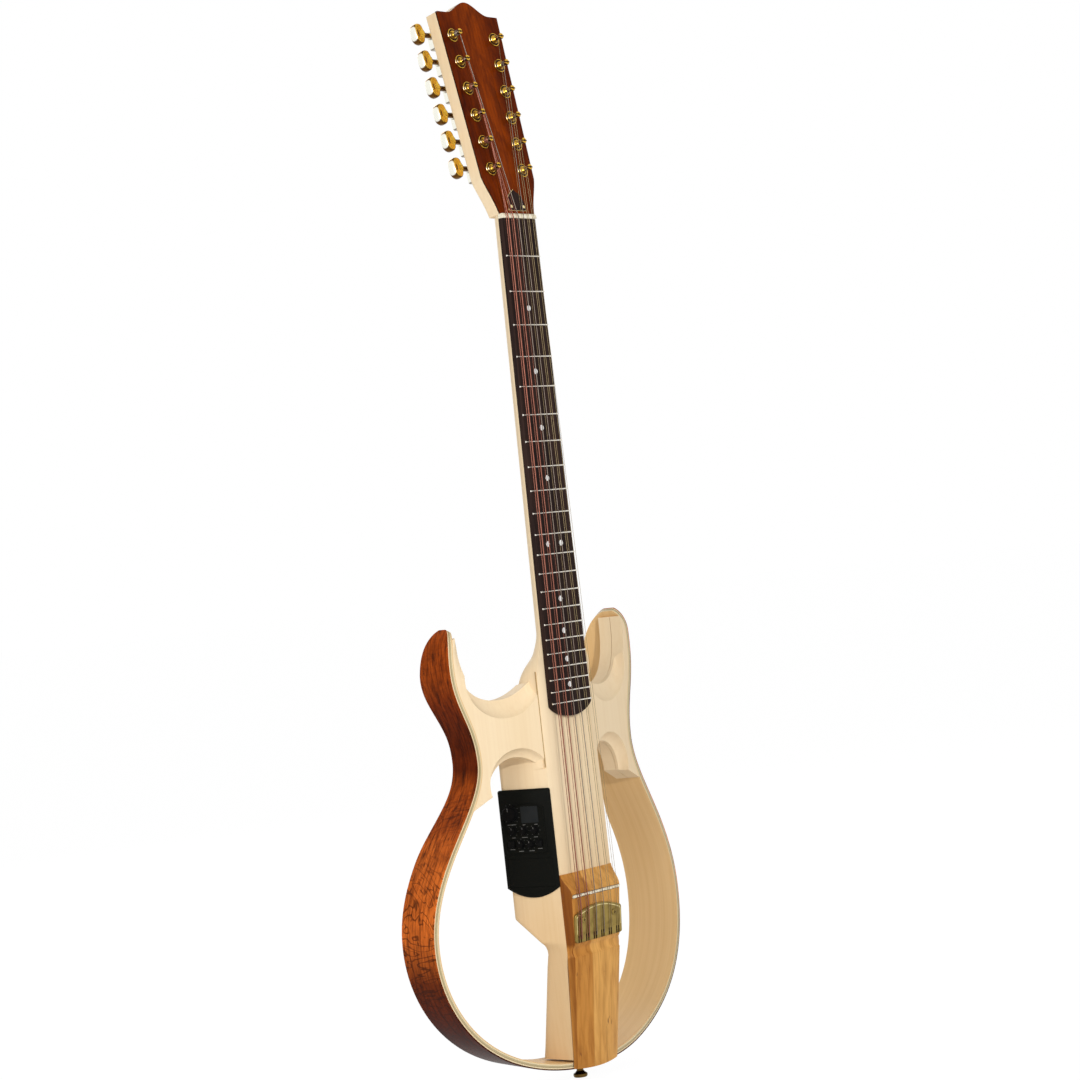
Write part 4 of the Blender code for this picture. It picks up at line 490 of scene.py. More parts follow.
class Batch:
    """Several shells gathered into one mesh."""

    def __init__(self, *shells):
        self.vertices = []
        self.faces = []
        for rings in shells:
            self.add(rings)

    def add(self, rings, place=None):
        vertices, faces = loft_data(rings, len(self.vertices))
        if place is not None:
            vertices = [place @ v for v in vertices]
        self.vertices += vertices
        self.faces += faces

    def box(self, low, high, place=None):
        self.add(box_rings(low, high), place)

    def turned(self, profile, sides, place=None, axis="Z"):
        self.add(turned_rings(profile, sides, axis), place)

    def make(self, name, look, slot, **more):
        return piece(name, self.vertices, self.faces, look, slot, **more)

    def cut(self, target):
        """Take the shells away from a piece."""
        other = self.make("tool", MAPLE, None)
        step = target.modifiers.new("cut", "BOOLEAN")
        step.operation = "DIFFERENCE"
        step.solver = "EXACT"
        step.object = other
        bpy.context.view_layer.update()
        graph = bpy.context.evaluated_depsgraph_get()
        result = bpy.data.meshes.new_from_object(target.evaluated_get(graph), depsgraph=graph)
        target.modifiers.remove(step)
        target.data = result
        bpy.data.objects.remove(other, do_unlink=True)
        result.shade_smooth()
        result.set_sharp_from_angle(angle=0.5)


def box_rings(low, high):
    (x0, y0, z0), (x1, y1, z1) = low, high
    corners = [Vector(p) for p in ((x0, y0), (x1, y0), (x1, y1), (x0, y1))]
    return levels((corners, z0), (corners, z1))


def turned_rings(profile, sides, axis="Z"):
    rings = []
    for radius, height in profile:
        ring = [(radius * cos(2 * pi * i / sides), radius * sin(2 * pi * i / sides)) for i in range(sides)]
        rings.append([Vector((a, b, height)) if axis == "Z" else Vector((height, a, b)) for a, b in ring])
    return rings


def levels(*pairs):
    """Rings of flat outlines, each at its height."""
    return [[Vector((p.x, p.y, height)) for p in shape] for shape, height in pairs]


def bar(profile, *stations):
    """Rings of a profile of depth and height at places across."""
    return [[Vector((x, y, z)) for y, z in profile] for x in stations]


def bevel(made, width, segments=2):
    step = made.modifiers.new("soft_edges", "BEVEL")
    step.width = width
    step.segments = segments
    step.limit_method = "ANGLE"
    step.angle_limit = 0.55
    step.harden_normals = False


def even_shading(made):
    """Shade flat faces flat beside curved ones."""
    step = made.modifiers.new("even_shading", "WEIGHTED_NORMAL")
    step.keep_sharp = True
    step.weight = 90


# Camera, light and floor

def camera():
    """The camera fitted to the photo, as pixels of its 1080 x 1080 frame."""
    side = 1080.0
    focal, centre_row = 2671.26, 475.83
    yaw, pitch, roll = radians(48.624), radians(1.860), radians(-6.248)
    ahead = Vector((sin(yaw) * cos(pitch), cos(yaw) * cos(pitch), sin(pitch)))
    level = Vector((cos(yaw), -sin(yaw), 0))
    right = level * cos(roll) + level.cross(ahead) * sin(roll)
    data = bpy.data.cameras.new("camera")
    made = bpy.data.objects.new("camera", data)
    bpy.context.scene.collection.objects.link(made)
    bpy.context.scene.camera = made
    made.matrix_world = shift(-1.9329, -1.6926, -0.3327) @ axes(right, right.cross(ahead), -ahead)
    data.sensor_width = 36.0
    data.lens = data.sensor_width * focal / side
    data.shift_y = -(side / 2 - centre_row) / side
    data.clip_start = 0.05
    data.clip_end = 60.0


def area_light(name, place, size, power):
    data = bpy.data.lights.new(name, "AREA")
    data.shape = "DISK"
    data.size = size
    data.energy = power
    made = bpy.data.objects.new(name, data)
    bpy.context.scene.collection.objects.link(made)
    body_middle = Vector((0.0, 0.03, -0.35))
    made.rotation_mode = "QUATERNION"
    made.rotation_quaternion = (body_middle - Vector(place)).to_track_quat("-Z", "Y")
    made.location = place


def white_where_seen(tree, lit, white, share, output):
    """Show the white to camera, glossy and glass rays; light the scene with the other shader."""
    path = tree.nodes.new("ShaderNodeLightPath")
    seen = path.outputs["Is Camera Ray"]
    for name in ("Is Glossy Ray", "Is Transmission Ray"):
        step = tree.nodes.new("ShaderNodeMath")
        step.operation = "MAXIMUM"
        tree.links.new(seen, step.inputs[0])
        tree.links.new(path.outputs[name], step.inputs[1])
        seen = step.outputs["Value"]
    part = tree.nodes.new("ShaderNodeMath")
    part.operation = "MULTIPLY"
    part.inputs[1].default_value = share
    tree.links.new(seen, part.inputs[0])
    mixed = tree.nodes.new("ShaderNodeMixShader")
    for source, key in ((part.outputs["Value"], "Fac"), (lit, 1), (white, 2)):
        tree.links.new(source, mixed.inputs[key])
    tree.links.new(mixed.outputs["Shader"], tree.nodes[output].inputs["Surface"])


def studio():
    area_light("key", (-0.98, -2.50, 0.45), 0.16, 37.0)
    area_light("fill", (-2.5, -0.5, 0.1), 1.2, 21.0)
    area_light("back", (0.9, 2.2, 0.9), 1.6, 16.0)
    world = bpy.data.worlds.new("studio")
    bpy.context.scene.world = world
    world.use_nodes = True
    tree = world.node_tree
    lit = tree.nodes["Background"]
    white = tree.nodes.new("ShaderNodeBackground")
    for background, strength in ((lit, 0.36), (white, 1.0)):
        background.inputs["Color"].default_value = (1, 1, 1, 1)
        background.inputs["Strength"].default_value = strength
    white_where_seen(tree, lit.outputs["Background"], white.outputs["Background"], 1.0, "World Output")


def floor():
    level = CAD_BOX[0].z - 0.0002
    size = 30.0
    mesh = bpy.data.meshes.new("floor")
    corners = [(x * size, y * size, level) for x, y in ((-1, -1), (1, -1), (1, 1), (-1, 1))]
    mesh.from_pydata(corners, [], [(0, 1, 2, 3)])
    made = bpy.data.objects.new("floor", mesh)
    bpy.context.scene.collection.objects.link(made)
    look = bpy.data.materials.new("floor_look")
    look.use_nodes = True
    tree = look.node_tree
    surface = tree.nodes["Principled BSDF"]
    surface.inputs["Base Color"].default_value = (0.90, 0.90, 0.90, 1)
    surface.inputs["Roughness"].default_value = 0.8
    glow = tree.nodes.new("ShaderNodeEmission")
    glow.inputs["Strength"].default_value = 1.05
    white_where_seen(tree, surface.outputs["BSDF"], glow.outputs["Emission"], 0.92, "Material Output")
    mesh.materials.append(look)


# Neck and beam

def board_half(z):
    return mix(BOARD_HALF_AT_NUT, BOARD_HALF_AT_END, -z / BOARD_LENGTH)


def section(z, half, front, back, power, flare=0.0, crown=0.0, ledge=False):
    """A beam section: a front with soft edges, sides, and a back from round (2) to nearly square (16)."""
    ring = []
    for i in range(17):
        share = i / 8 - 1
        share = copysign(abs(share) ** 0.6, share)
        edge = max(0.0, (abs(share) - 1) * half / 0.010 + 1)
        ring.append(Vector((half * share, front + crown * edge ** 2, z)))
    low = front + crown
    side = []
    for i in range(1, 27):
        angle = mix(asin(0.85 ** (power / 2)), pi / 2, max(0, i - 12) / 14)
        rise = sin(angle) ** (2 / power) if i > 12 else 0.85 * i / 12
        if ledge and i <= 12:
            y = mix(low, 0.0118, i / 3) if i < 4 else mix(0.0120, mix(low, back, 0.85), (i - 4) / 8)
            rise = (y - low) / (back - low)
        y = mix(low, back, rise)
        wide = half if ledge and i < 4 else half + flare * (y - BEAM_FRONT)
        side.append(Vector((wide * max(0.0, 1 - rise ** power) ** (1 / power), y, z)))
    return ring + side + [Vector((-p.x, p.y, z)) for p in reversed(side[:-1])]


def bow_tail(ring):
    """Bow the last section, so that the tail's end is lowest in the middle."""
    for point in ring:
        point.z += TAIL_BOW * (point.x / 0.032) ** 2


def neck_rings():
    """The neck from under the nut to the heel, and the step out to the beam."""
    depth_nut = BEAM_FRONT + 0.0145
    depth_heel = BEAM_FRONT + 0.0175
    heel = -0.398
    rings = [section(0.026, 0.0235, BEAM_FRONT + 0.002, depth_nut - 0.002, 2.0)]
    for z in (0.018, 0.010, 0.004, 0.0, -0.06, -0.12, -0.19, -0.26, -0.32, -0.36, heel):
        back = mix(depth_nut, depth_heel, max(0.0, z / heel))
        rings.append(section(z, board_half(min(0.0, z)), BEAM_FRONT, back, 2.0))
    steps = 30
    for i in range(1, steps + 1):
        z = mix(heel, -0.465, i / steps)
        half = mix(board_half(z), BEAM_HALF, ease(z, heel, -0.434))
        back = mix(depth_heel, BEAM_BACK, ease(z, heel, -0.456))
        power = mix(2.0, 10.0, ease(z, -0.418, -0.465))
        rings.append(section(z, half, BEAM_FRONT, back, power, 0.0, 0.0020 * ease(z, -0.425, -0.450)))
    return rings


def housing_rings():
    """The beam, the deeper housing behind the wings, and the slope at its lower end."""
    rings = []
    for z in (-0.475, -0.485, -0.495, -0.505, -0.5115):
        rings.append(section(z, BEAM_HALF, BEAM_FRONT, BEAM_BACK, 10.0, 0.0, 0.0020))
    for z, back in ((-0.5120, 0.0545), (-0.5127, 0.0572), (-0.5143, 0.0601), (-0.5165, 0.0618),
                    (-0.5200, HOUSING_BACK), (-0.5270, HOUSING_BACK)):
        rings.append(section(z, BEAM_HALF, BEAM_FRONT, back, 16.0, FLARE, 0.0019, True))
    slope_back = 0.0606
    for z, back in ((-0.5275, HOUSING_BACK), (-0.540, HOUSING_BACK), (-0.560, HOUSING_BACK),
                    (-0.610, HOUSING_BACK), (-0.6685, HOUSING_BACK), (-0.6700, 0.0620), (-0.6715, slope_back)):
        crown = mix(0.0019, 0.0012, ease(z, -0.5275, -0.560))
        rings.append(section(z, BEAM_HALF, BEAM_FRONT, back, 16.0, FLARE, crown))
    steps = 8
    for i in range(1, steps + 1):
        z = mix(-0.6715, -0.6930, i / steps)
        back = mix(slope_back, 0.0362, i / steps)
        rings.append(section(z, BEAM_HALF, BEAM_FRONT + 0.0012, back, 16.0, FLARE))
    for z, share in ((-0.6950, 0.75), (-0.6975, 0.35), (-0.7010, 0.08), (-0.7050, 0.0)):
        rings.append(section(z, BEAM_HALF, BEAM_FRONT + 0.0014, 0.0365, 10.0, FLARE * share))
    return rings


def neck_and_beam():
    rings = neck_rings() + housing_rings()
    steps = 8
    for i in range(1, steps + 1):
        share = i / steps
        rings.append(section(mix(-0.705, -0.8085, share), mix(BEAM_HALF, 0.0320, share),
                             mix(0.0092, 0.0203, share), mix(0.0370, 0.0615, share), 10.0))
    bow_tail(rings[-1])
    even_shading(loft("neck_beam_block", rings, MAPLE, "maple", angle=0.5,
                      stands=("neck_through_beam", "electronics_housing")))


def head_frame():
    return shift(0, HEAD_DROP, 0) @ Matrix.Rotation(pi / 2 - HEAD_ANGLE, 4, "X")


def head_outline():
    flank = bezier((0.0244, 0.0050), (0.0275, 0.0210), (0.0345, 0.0300), (0.0374, 0.0420), 12)
    right = flank + [Vector((0.0430, HEAD_LENGTH))]
    crest = []
    steps = 36
    for i in range(steps + 1):
        x = 0.030 * (1 - 2 * i / steps)
        crest.append(Vector((x, HEAD_LENGTH + 0.0125 * cos(pi * x / 0.060) ** 2)))
    return right + crest + other_half(right)


def plate(name, shape, low, high, look, slot, place, **more):
    return loft(name, levels((shape, low), (shape, high)), look, slot, place=place, **more)


def headstock():
    place = head_frame()
    shape = head_outline()
    bevel(plate("headstock_core", shape, -0.0160, -0.0026, MAPLE, "maple", place), 0.0010, 3)
    plate("headstock_line", shape, -0.0026, -0.0018, DARK_LINE, "bubinga", place)
    bevel(plate("headstock_face", shape, -0.0018, 0.0, BUBINGA, "bubinga", place,
                stands=("headstock_veneer",)), 0.0004)
    cover = bezier((0.0116, 0.008), (0.0116, 0.014), (0.0110, 0.019), (0.0075, 0.0235), 8)
    cover += bezier((0.0075, 0.0235), (0.0050, 0.0262), (0.0025, 0.0262), (0.0, 0.0290), 6, 1)
    cover += other_half(cover[:-1])
    edge = [Vector((p.x * 1.06, (p.y - 0.016) * 1.06 + 0.016)) for p in cover]
    bevel(plate("cover_edge", edge, 0.0003, 0.0012, BRIGHT_GOLD, "gold", place), 0.0003)
    bevel(plate("cover_plate", cover, 0.0003, 0.0021, ROSEWOOD, "rosewood", place,
                stands=("truss_rod_cover",)), 0.0004)
    heads = Batch()
    for x in (-0.0088, 0.0088):
        heads.turned(((0.0016, 0.0019), (0.0016, 0.0023), (0.0008, 0.0027)), 16, place @ shift(x, 0.0115, 0))
    heads.make("cover_screws", BRIGHT_GOLD, "gold")


# Fingerboard

def fret_z(number):
    return -SCALE_LENGTH * (1 - 2 ** (-number / 12))


def fret_wires():
    """Round wires, slimmer at both ends."""
    wires = Batch()
    arch = [(0.0001 - 0.0011 * sin(pi * i / 8), -0.00078 * cos(pi * i / 8)) for i in range(9)]
    for number in range(1, FRET_COUNT + 1):
        z = fret_z(number)
        reach = board_half(z) - 0.0003
        half = [(reach + 0.0003, 0.5), (reach, 1.25), (reach - 0.0011, 1.35), (reach - 0.0017, 1.0)]
        wires.add([[Vector((x, BOARD_TOP + y * share, z + dz * (0.4 + 0.6 * share))) for y, dz in arch]
                   for x, share in [(-x, share) for x, share in half] + half[::-1]])
    wires.make("fret_wires", FRET_STEEL, "steel")


def fingerboard():
    steps = 24
    shape = [Vector((BOARD_HALF_AT_NUT, 0.0))]
    for i in range(steps + 1):
        angle = pi * (0.5 - i / steps)
        foot = -BOARD_LENGTH - BOARD_END_BULGE * abs(cos(angle)) ** 1.5
        shape.append(Vector((BOARD_HALF_AT_END * sin(angle), foot)))
    shape.append(Vector((-BOARD_HALF_AT_NUT, 0.0)))
    rings = [[Vector((p.x, y, p.y)) for p in shape] for y in (BOARD_TOP, BOARD_BOTTOM + 0.0003)]
    bevel(loft("fingerboard_wood", rings, ROSEWOOD, "rosewood", stands=("fingerboard",)), 0.0004)
    fret_wires()
    dots = Batch()
    for number in (3, 5, 7, 9, 12, 15, 17, 19, 21):
        z = (fret_z(number) + fret_z(number - 1)) / 2
        for x in ((-0.0095, 0.0095) if number == 12 else (0.0,)):
            dots.turned(((0.0027, -0.0005), (0.0027, 0.00010), (0.0024, 0.00014)), 24,
                        shift(x, BOARD_TOP, z) @ Matrix.Rotation(pi / 2, 4, "X"))
    dots.make("pearl_dots", PEARL, "bone")
    half = BOARD_HALF_AT_NUT + 0.0002
    profile = ((0.0062, 0.0002), (-0.0004, 0.0002), (-0.0007, 0.0008), (-0.0005, 0.0030), (0.0006, 0.0049),
               (0.0062, 0.0049))
    bevel(loft("nut_bone", bar(profile, -half, half), BONE, "bone", stands=("nut",)), 0.0003)


# Wings

def outline(waist_steps=20):
    """Half of the outline, from the tail over hip, waist and bout to the horn's tip."""
    hip, waist = Vector((0.1803, -0.6760)), Vector((0.1137, -0.5126))
    bout, tip = Vector((0.1330, -0.4210)), Vector((0.1255, -0.3850))
    up = Vector((0, 1))
    lean = Vector((sin(radians(30)), -cos(radians(30)))) * 0.0111
    points = bezier((0, TAIL_Z), (0.1128, TAIL_Z), hip - up * 0.0811, hip, 44)
    points += bezier(hip, hip + up * 0.0743, waist - up * 0.0453, waist, 34, 1)
    points += bezier(waist, waist + up * 0.0382, bout - up * 0.0405, bout, waist_steps, 1)
    return points + bezier(bout, bout + up * 0.0180, tip + lean, tip, 30, 1)


def wing_flat(point):
    """A place seen from the front, laid on the sloping wing."""
    return Vector(((point[0] - WING_HINGE_X) / cos(WING_SLOPE), point[1]))


def wing_place(flat, depth):
    """A place on the bass wing and below its face, in the guitar's own axes."""
    s, z = flat
    x = WING_HINGE_X + s * cos(WING_SLOPE) - depth * sin(WING_SLOPE)
    return Vector((-x, WING_HINGE_Y + s * sin(WING_SLOPE) + depth * cos(WING_SLOPE), z))


def cutaway_edge():
    points = bezier(CUT_NECK, CUT_NECK + Vector((0.0028, -0.0090)), CUT_BOTTOM - Vector((0.0189, 0)),
                    CUT_BOTTOM, 36)
    return points + bezier(CUT_BOTTOM, CUT_BOTTOM + Vector((0.0290, 0)), CUT_HORN + Vector((0.0012, -0.0457)),
                           CUT_HORN, 36, 1)


def window_edge():
    points = []
    steps = 72
    for i in range(steps + 1):
        angle = pi * (1 - i / steps)
        reach = 0.0350 if angle > pi / 2 else 0.0312
        points.append(WINDOW_CENTRE + Vector((reach * cos(angle), WINDOW_HIGH * sin(angle))))
    return points


def wing_outline():
    line = [wing_flat(p) for p in outline(30)]
    side = []
    for before, point, after in zip(line, line[1:], line[2:]):
        along = (after - before).normalized()
        inner = point + Vector((-along.y, along.x)) * (RIM_THICKNESS - 0.0001)
        if WINDOW_FOOT < inner.y < CUT_HORN.y - 0.0004:
            side.append(inner)
    return ([wing_flat(p) for p in window_edge()] + side
            + [wing_flat(p) for p in reversed(cutaway_edge())])


def cove(front_centre, front_radii, floor_centre, floor_radii):
    """A hollow that narrows from an oval on the front face to one on its floor."""
    hollow = []
    steps = 96
    for share, depth in ((-0.30, -0.0020), (-0.03, -0.0003), (0.03, 0.0007), (0.10, 0.0022), (0.24, 0.0043),
                         (0.42, 0.0062), (0.62, 0.0077), (0.85, 0.0089), (1.15, 0.0098)):
        centre = mix(Vector(front_centre), Vector(floor_centre), share)
        wide, tall = (mix(a, b, share) for a, b in zip(front_radii, floor_radii))
        oval = arc(centre.x, centre.y, wide, 180 / steps, steps, 360, tall)[:-1]
        hollow.append([wing_place(wing_flat(p), depth) for p in oval])
    return Batch(hollow)


def horn_round():
    """What the rounding of the horn's front edge takes off the wing."""
    profile = [(-0.4100, -0.0030), (-0.4095, 0.0)]
    for i in range(13):
        z = mix(-0.4090, -0.3850, i / 12)
        profile.append((z, rim_reach(z)[0]))
    profile += [(-0.3840, 0.0130), (-0.3800, 0.0130), (-0.3800, -0.0030)]
    return Batch([[wing_place((s, z), d) for z, d in profile] for s in (0.060, 0.120)])


def reach_at(points, z):
    """Where a line of points that rises steadily crosses a height."""
    for a, b in zip(points, points[1:]):
        if a.y <= z <= b.y:
            return mix(a.x, b.x, (z - a.y) / (b.y - a.y))
    return points[-1].x


def horn_slope():
    """What slopes the bass wing's face down to the cutaway along the horn."""
    edge = [wing_flat(p) for p in cutaway_edge()][40:]
    line = [p for p in outline(30) if -0.46 < p.y < -0.385]
    rings = []
    for i in range(17):
        z = mix(-0.4420, -0.3900, i / 16)
        inner = reach_at(edge, z) - 0.0015
        outer = wing_flat((reach_at(line, z) - 0.0066, z)).x
        drop = 0.0036 * (1 - ease(z, -0.4060, -0.4400)) + 0.0030 * (1 - ease(z, -0.3925, -0.4040)) - 0.0003
        profile = ((outer, -0.0002), (mix(outer, inner, 0.35), drop * 0.22),
                   (mix(outer, inner, 0.7), drop * 0.62), (inner, drop), (inner, -0.0040), (outer, -0.0040))
        rings.append([wing_place((s, z), d) for s, d in profile])
    return Batch(rings)


def mirrored(source, name, slot, stands):
    mesh = source.data.copy()
    mesh.transform(Matrix.Scale(-1, 4, Vector((1, 0, 0))))
    mesh.flip_normals()
    return settle(name, mesh, slot, GUITAR, stands)


def wings():
    """Two layers a side; the treble side is the bass side before the horn's slope is cut."""
    shape = wing_outline()
    reach = 0.1
    seam = 0.00025
    blank = [Vector((-BEAM_HALF, side, z)) for side, z in ((-reach, -1), (-reach, 0), (reach, 0), (reach, -1))]
    beam_room = Batch([blank, [Vector((reach, p.y, p.z)) for p in blank]])
    for name, front, back in (("wing_front", 0.0, WING_LAYER - seam), ("wing_back", WING_LAYER + seam, 0.026)):
        rings = [[wing_place(p, d) for p in shape] for d in (front, back)]
        layer = loft(name + "_left", rings, MAPLE, "maple", stands=(name + "_bass",))
        beam_room.cut(layer)
        if name == "wing_front":
            cove((0.0742, -0.4353), (0.0423, 0.0392), (0.0742, -0.4353), (0.0400, 0.0218)).cut(layer)
            cove((0.0668, -0.5368), (0.0345, WINDOW_HIGH), WINDOW_CENTRE, (0.0320, WINDOW_HIGH)).cut(layer)
            horn_round().cut(layer)
        even_shading(mirrored(layer, name + "_right", "maple", (name + "_treble",)))
        if name == "wing_front":
            horn_slope().cut(layer)
        even_shading(layer)


def painted_step_shadows():
    """Brown strips that paint the shadow in the fine step between the beam and the wings."""
    lines = Batch()
    profile = ((0.0376, 0.0089), (0.0388, 0.0092), (0.0388, 0.0100), (0.0376, 0.0100))
    for side in (-1, 1):
        lines.add([[Vector((side * x, y, z)) for x, y in profile] for z in (-0.4350, -0.5262)])
    lines.make("painted_step_shadows", STEP_SHADOW, "maple")


# Rim

def rim_front(x, z):
    """Depth and slope of the rim's front edge: level and rounded near the tail's middle."""
    reach = abs(x)
    slope = WING_SLOPE
    if reach < RIM_CROWN_HALF:
        slope = atan(tan(WING_SLOPE) * reach / RIM_CROWN_HALF)
        reach = (reach * reach + RIM_CROWN_HALF ** 2) / (2 * RIM_CROWN_HALF)
    setback = TAIL_SETBACK * max(0.0, (KNEE_Z - z) / (KNEE_Z - TAIL_Z)) ** 3
    return WING_HINGE_Y + tan(WING_SLOPE) * (reach - WING_HINGE_X) + setback, slope


def rim_reach(z):
    """Front and back depth: slimmer at the waist, round at the horn tip."""
    full = mix(0.0545, 0.0415, ease(z, -0.425, -0.498) * (1 - ease(z, -0.530, -0.600)))
    crest = -0.3840
    crest_depth = 0.0140
    front, back = (sqrt(1 - min(1.0, max(0.0, (z - crest + reach) / reach)) ** 2) for reach in (0.025, 0.070))
    return crest_depth * (1 - front), crest_depth + (full - crest_depth) * back


def rim_strip(name, outer, inner, look, slot, stands):
    half = outline()
    edge = []
    for p in other_half(half[1:]) + half:
        y, slope = rim_front(p.x, p.y)
        edge.append((Vector((p.x, y, p.y)), slope))
    rings = []
    strip = []
    run = 0.0
    for i, (point, slope) in enumerate(edge):
        before = edge[max(0, i - 1)][0]
        after = edge[min(len(edge) - 1, i + 1)][0]
        run += (point - before).length
        side = 1 if point.x > 0 else -1
        deep = Vector((-side * sin(slope), cos(slope), 0))
        inwards = (after - before).normalized().cross(deep).normalized()
        front, back = rim_reach(point.z)
        middle = mix(front, back, 0.5)
        corners = ((outer, front), (inner, front), (inner, middle), (inner, back), (outer, back),
                   (outer, middle))
        rings.append([point + inwards * a + deep * d for a, d in corners])
        strip += [(run, d + a) for a, d in corners]
    loft(name, rings, look, slot, stands=stands, strip=strip)


def rim():
    """The layers of the bent rim, from the veneer inwards."""
    outer = 0.0
    for name, inner, look, slot, stands in (("outer_veneer", 0.0012, BUBINGA_RIM, "bubinga", ("rim_veneer",)),
                                            ("ply_outer", 0.0024, MAPLE_PLY, "maple", ()),
                                            ("ply_line", 0.0029, PLY_LINE, "maple", ()),
                                            ("ply_middle", 0.0044, OLIVE_PLY, "maple", ()),
                                            ("ply_pale", 0.0056, MAPLE_PLY, "maple", ()),
                                            ("ply_inner", RIM_THICKNESS, BIRCH, "maple", ("rim_core",))):
        rim_strip("rim_" + name, outer, inner, look, slot, stands)
        outer = inner


# Tail block, saddle and tailpiece

def block_front(z):
    start = SADDLE_Z + 0.004
    if z > KNEE_Z:
        return mix(BLOCK_TOP, KNEE_FRONT, max(0.0, (z - start) / (KNEE_Z - start)))
    return mix(KNEE_FRONT, 0.0182, (z - KNEE_Z) / (TAIL_Z - KNEE_Z))


def block_half(z):
    if z > KNEE_Z:
        ramp = mix(0.0381, 0.0357, ease(z, BLOCK_START, BLOCK_CREST))
        return mix(ramp, KNEE_HALF, max(0.0, (z - SADDLE_Z) / (KNEE_Z - SADDLE_Z)))
    return mix(KNEE_HALF, 0.0300, (z - KNEE_Z) / (TAIL_Z - KNEE_Z))


def block_ring(z):
    """A section of the block, from the left back corner over the crowned face to the right one."""
    half = block_half(z)
    front = block_front(z)
    if z > -0.6482:
        front = mix(BEAM_FRONT - 0.0003, BLOCK_TOP, ease(z, BLOCK_START, BLOCK_CREST))
    groove, groove_z = 0.0028, -0.7015
    past = (groove_z - z) / 0.0070
    if 0 < past < 1:
        front += groove * (1 - past * past)
    elif past <= 0:
        front += groove * ease(z, -0.6950, groove_z)
    crown = 0.0042 * max(0.0, (z - KNEE_Z) / (TAIL_Z - KNEE_Z)) ** 0.45
    taper = max(0.0, (z + 0.705) / (TAIL_Z + 0.705))
    soft = 0.0012
    corner = [Vector((-mix(0.0383, 0.0321, taper), mix(0.0076, 0.0204, taper), z)),
              Vector((-half - 0.0001, front + soft * 0.9, z)),
              Vector((-half + soft * 0.35, front + soft * 0.22, z))]
    face = []
    across = 20
    for i in range(across + 1):
        x = (half - soft) * (2 * i / across - 1)
        face.append(Vector((x, front - crown * (1 - (x / half) ** 2), z)))
    return corner + face + [Vector((-p.x, p.y, z)) for p in reversed(corner)]


def tail_block():
    stations = [mix(BLOCK_START, BLOCK_CREST, i / 14) for i in range(15)]
    stations += [-0.655, -0.665, -0.680, -0.690] + [mix(-0.6950, -0.7085, i / 12) for i in range(13)]
    stations += [-0.7088, -0.711, -0.715, -0.722, -0.730, -0.740, -0.755, -0.770, -0.785, -0.800, -0.810,
                 TAIL_Z - 0.0002]
    rings = [block_ring(z) for z in stations]
    bow_tail(rings[-1])
    block = loft("tail_block_wood", rings, HONEY, "honey_wood", stands=("bridge_tail_block",), angle=0.45)
    slot = Batch()
    slot.box((-0.0347, -0.02, SADDLE_Z - 0.0018), (0.0347, 0.0030, SADDLE_Z + 0.0018))
    slot.cut(block)


def saddle():
    """Six blocks of bone, one a course, each with its crest a little forward or back."""
    bone = Batch()
    half, foot, count = 0.0345, 0.0030, 6
    for i in range(count):
        low, high = (mix(-half, half, edge / count) for edge in (i, i + 1))
        crest = 0.0003 if i % 2 else -0.0003
        profile = ((foot, -0.0012), (SADDLE_TOP + 0.0010, -0.0012), (SADDLE_TOP + 0.0002, crest - 0.0008),
                   (SADDLE_TOP, crest), (SADDLE_TOP + 0.0002, crest + 0.0008), (SADDLE_TOP + 0.0010, 0.0012),
                   (foot, 0.0012))
        bone.add(bar([(y, SADDLE_Z + dz) for y, dz in profile], low + 0.0006, high - 0.0006))
    bone.make("saddle_bone", BONE, "bone", stands=("saddle",))


def tailpiece_frame():
    top, bottom = -0.6670, -0.6945
    low, high = block_front(bottom), block_front(top)
    return shift(0, low - 0.0003, bottom) @ Matrix.Rotation(pi / 2 + atan2(low - high, top - bottom), 4, "X")


def string_rows():
    """Number, place at the nut, place at the saddle and radius of each string."""
    rows = []
    for course in range(6):
        share = course / 5 - 0.5
        for k, radius in enumerate((OCTAVE_RADII[course], COURSE_RADII[course])):
            aside = k - 0.5
            rows.append((2 * course + k + 1, 0.0382 * share + 0.0024 * aside,
                         0.0560 * share + 0.0030 * aside, radius))
    return rows


def tailpiece_shape(inset=0.0):
    half = 0.0340 - inset
    height = 0.0275 - inset
    corner = 0.0030
    right = arc(half - corner, inset + corner * 0.6, corner, -90, 6, rise=corner * 0.6)
    right += arc(half - corner, height - corner, corner, 0, 6)
    crest = []
    steps = 20
    for i in range(1, steps):
        share = 1 - 2 * i / steps
        crest.append(Vector(((half - corner) * share, height + 0.0060 * (1 - share * share))))
    return right + crest + other_half(right)


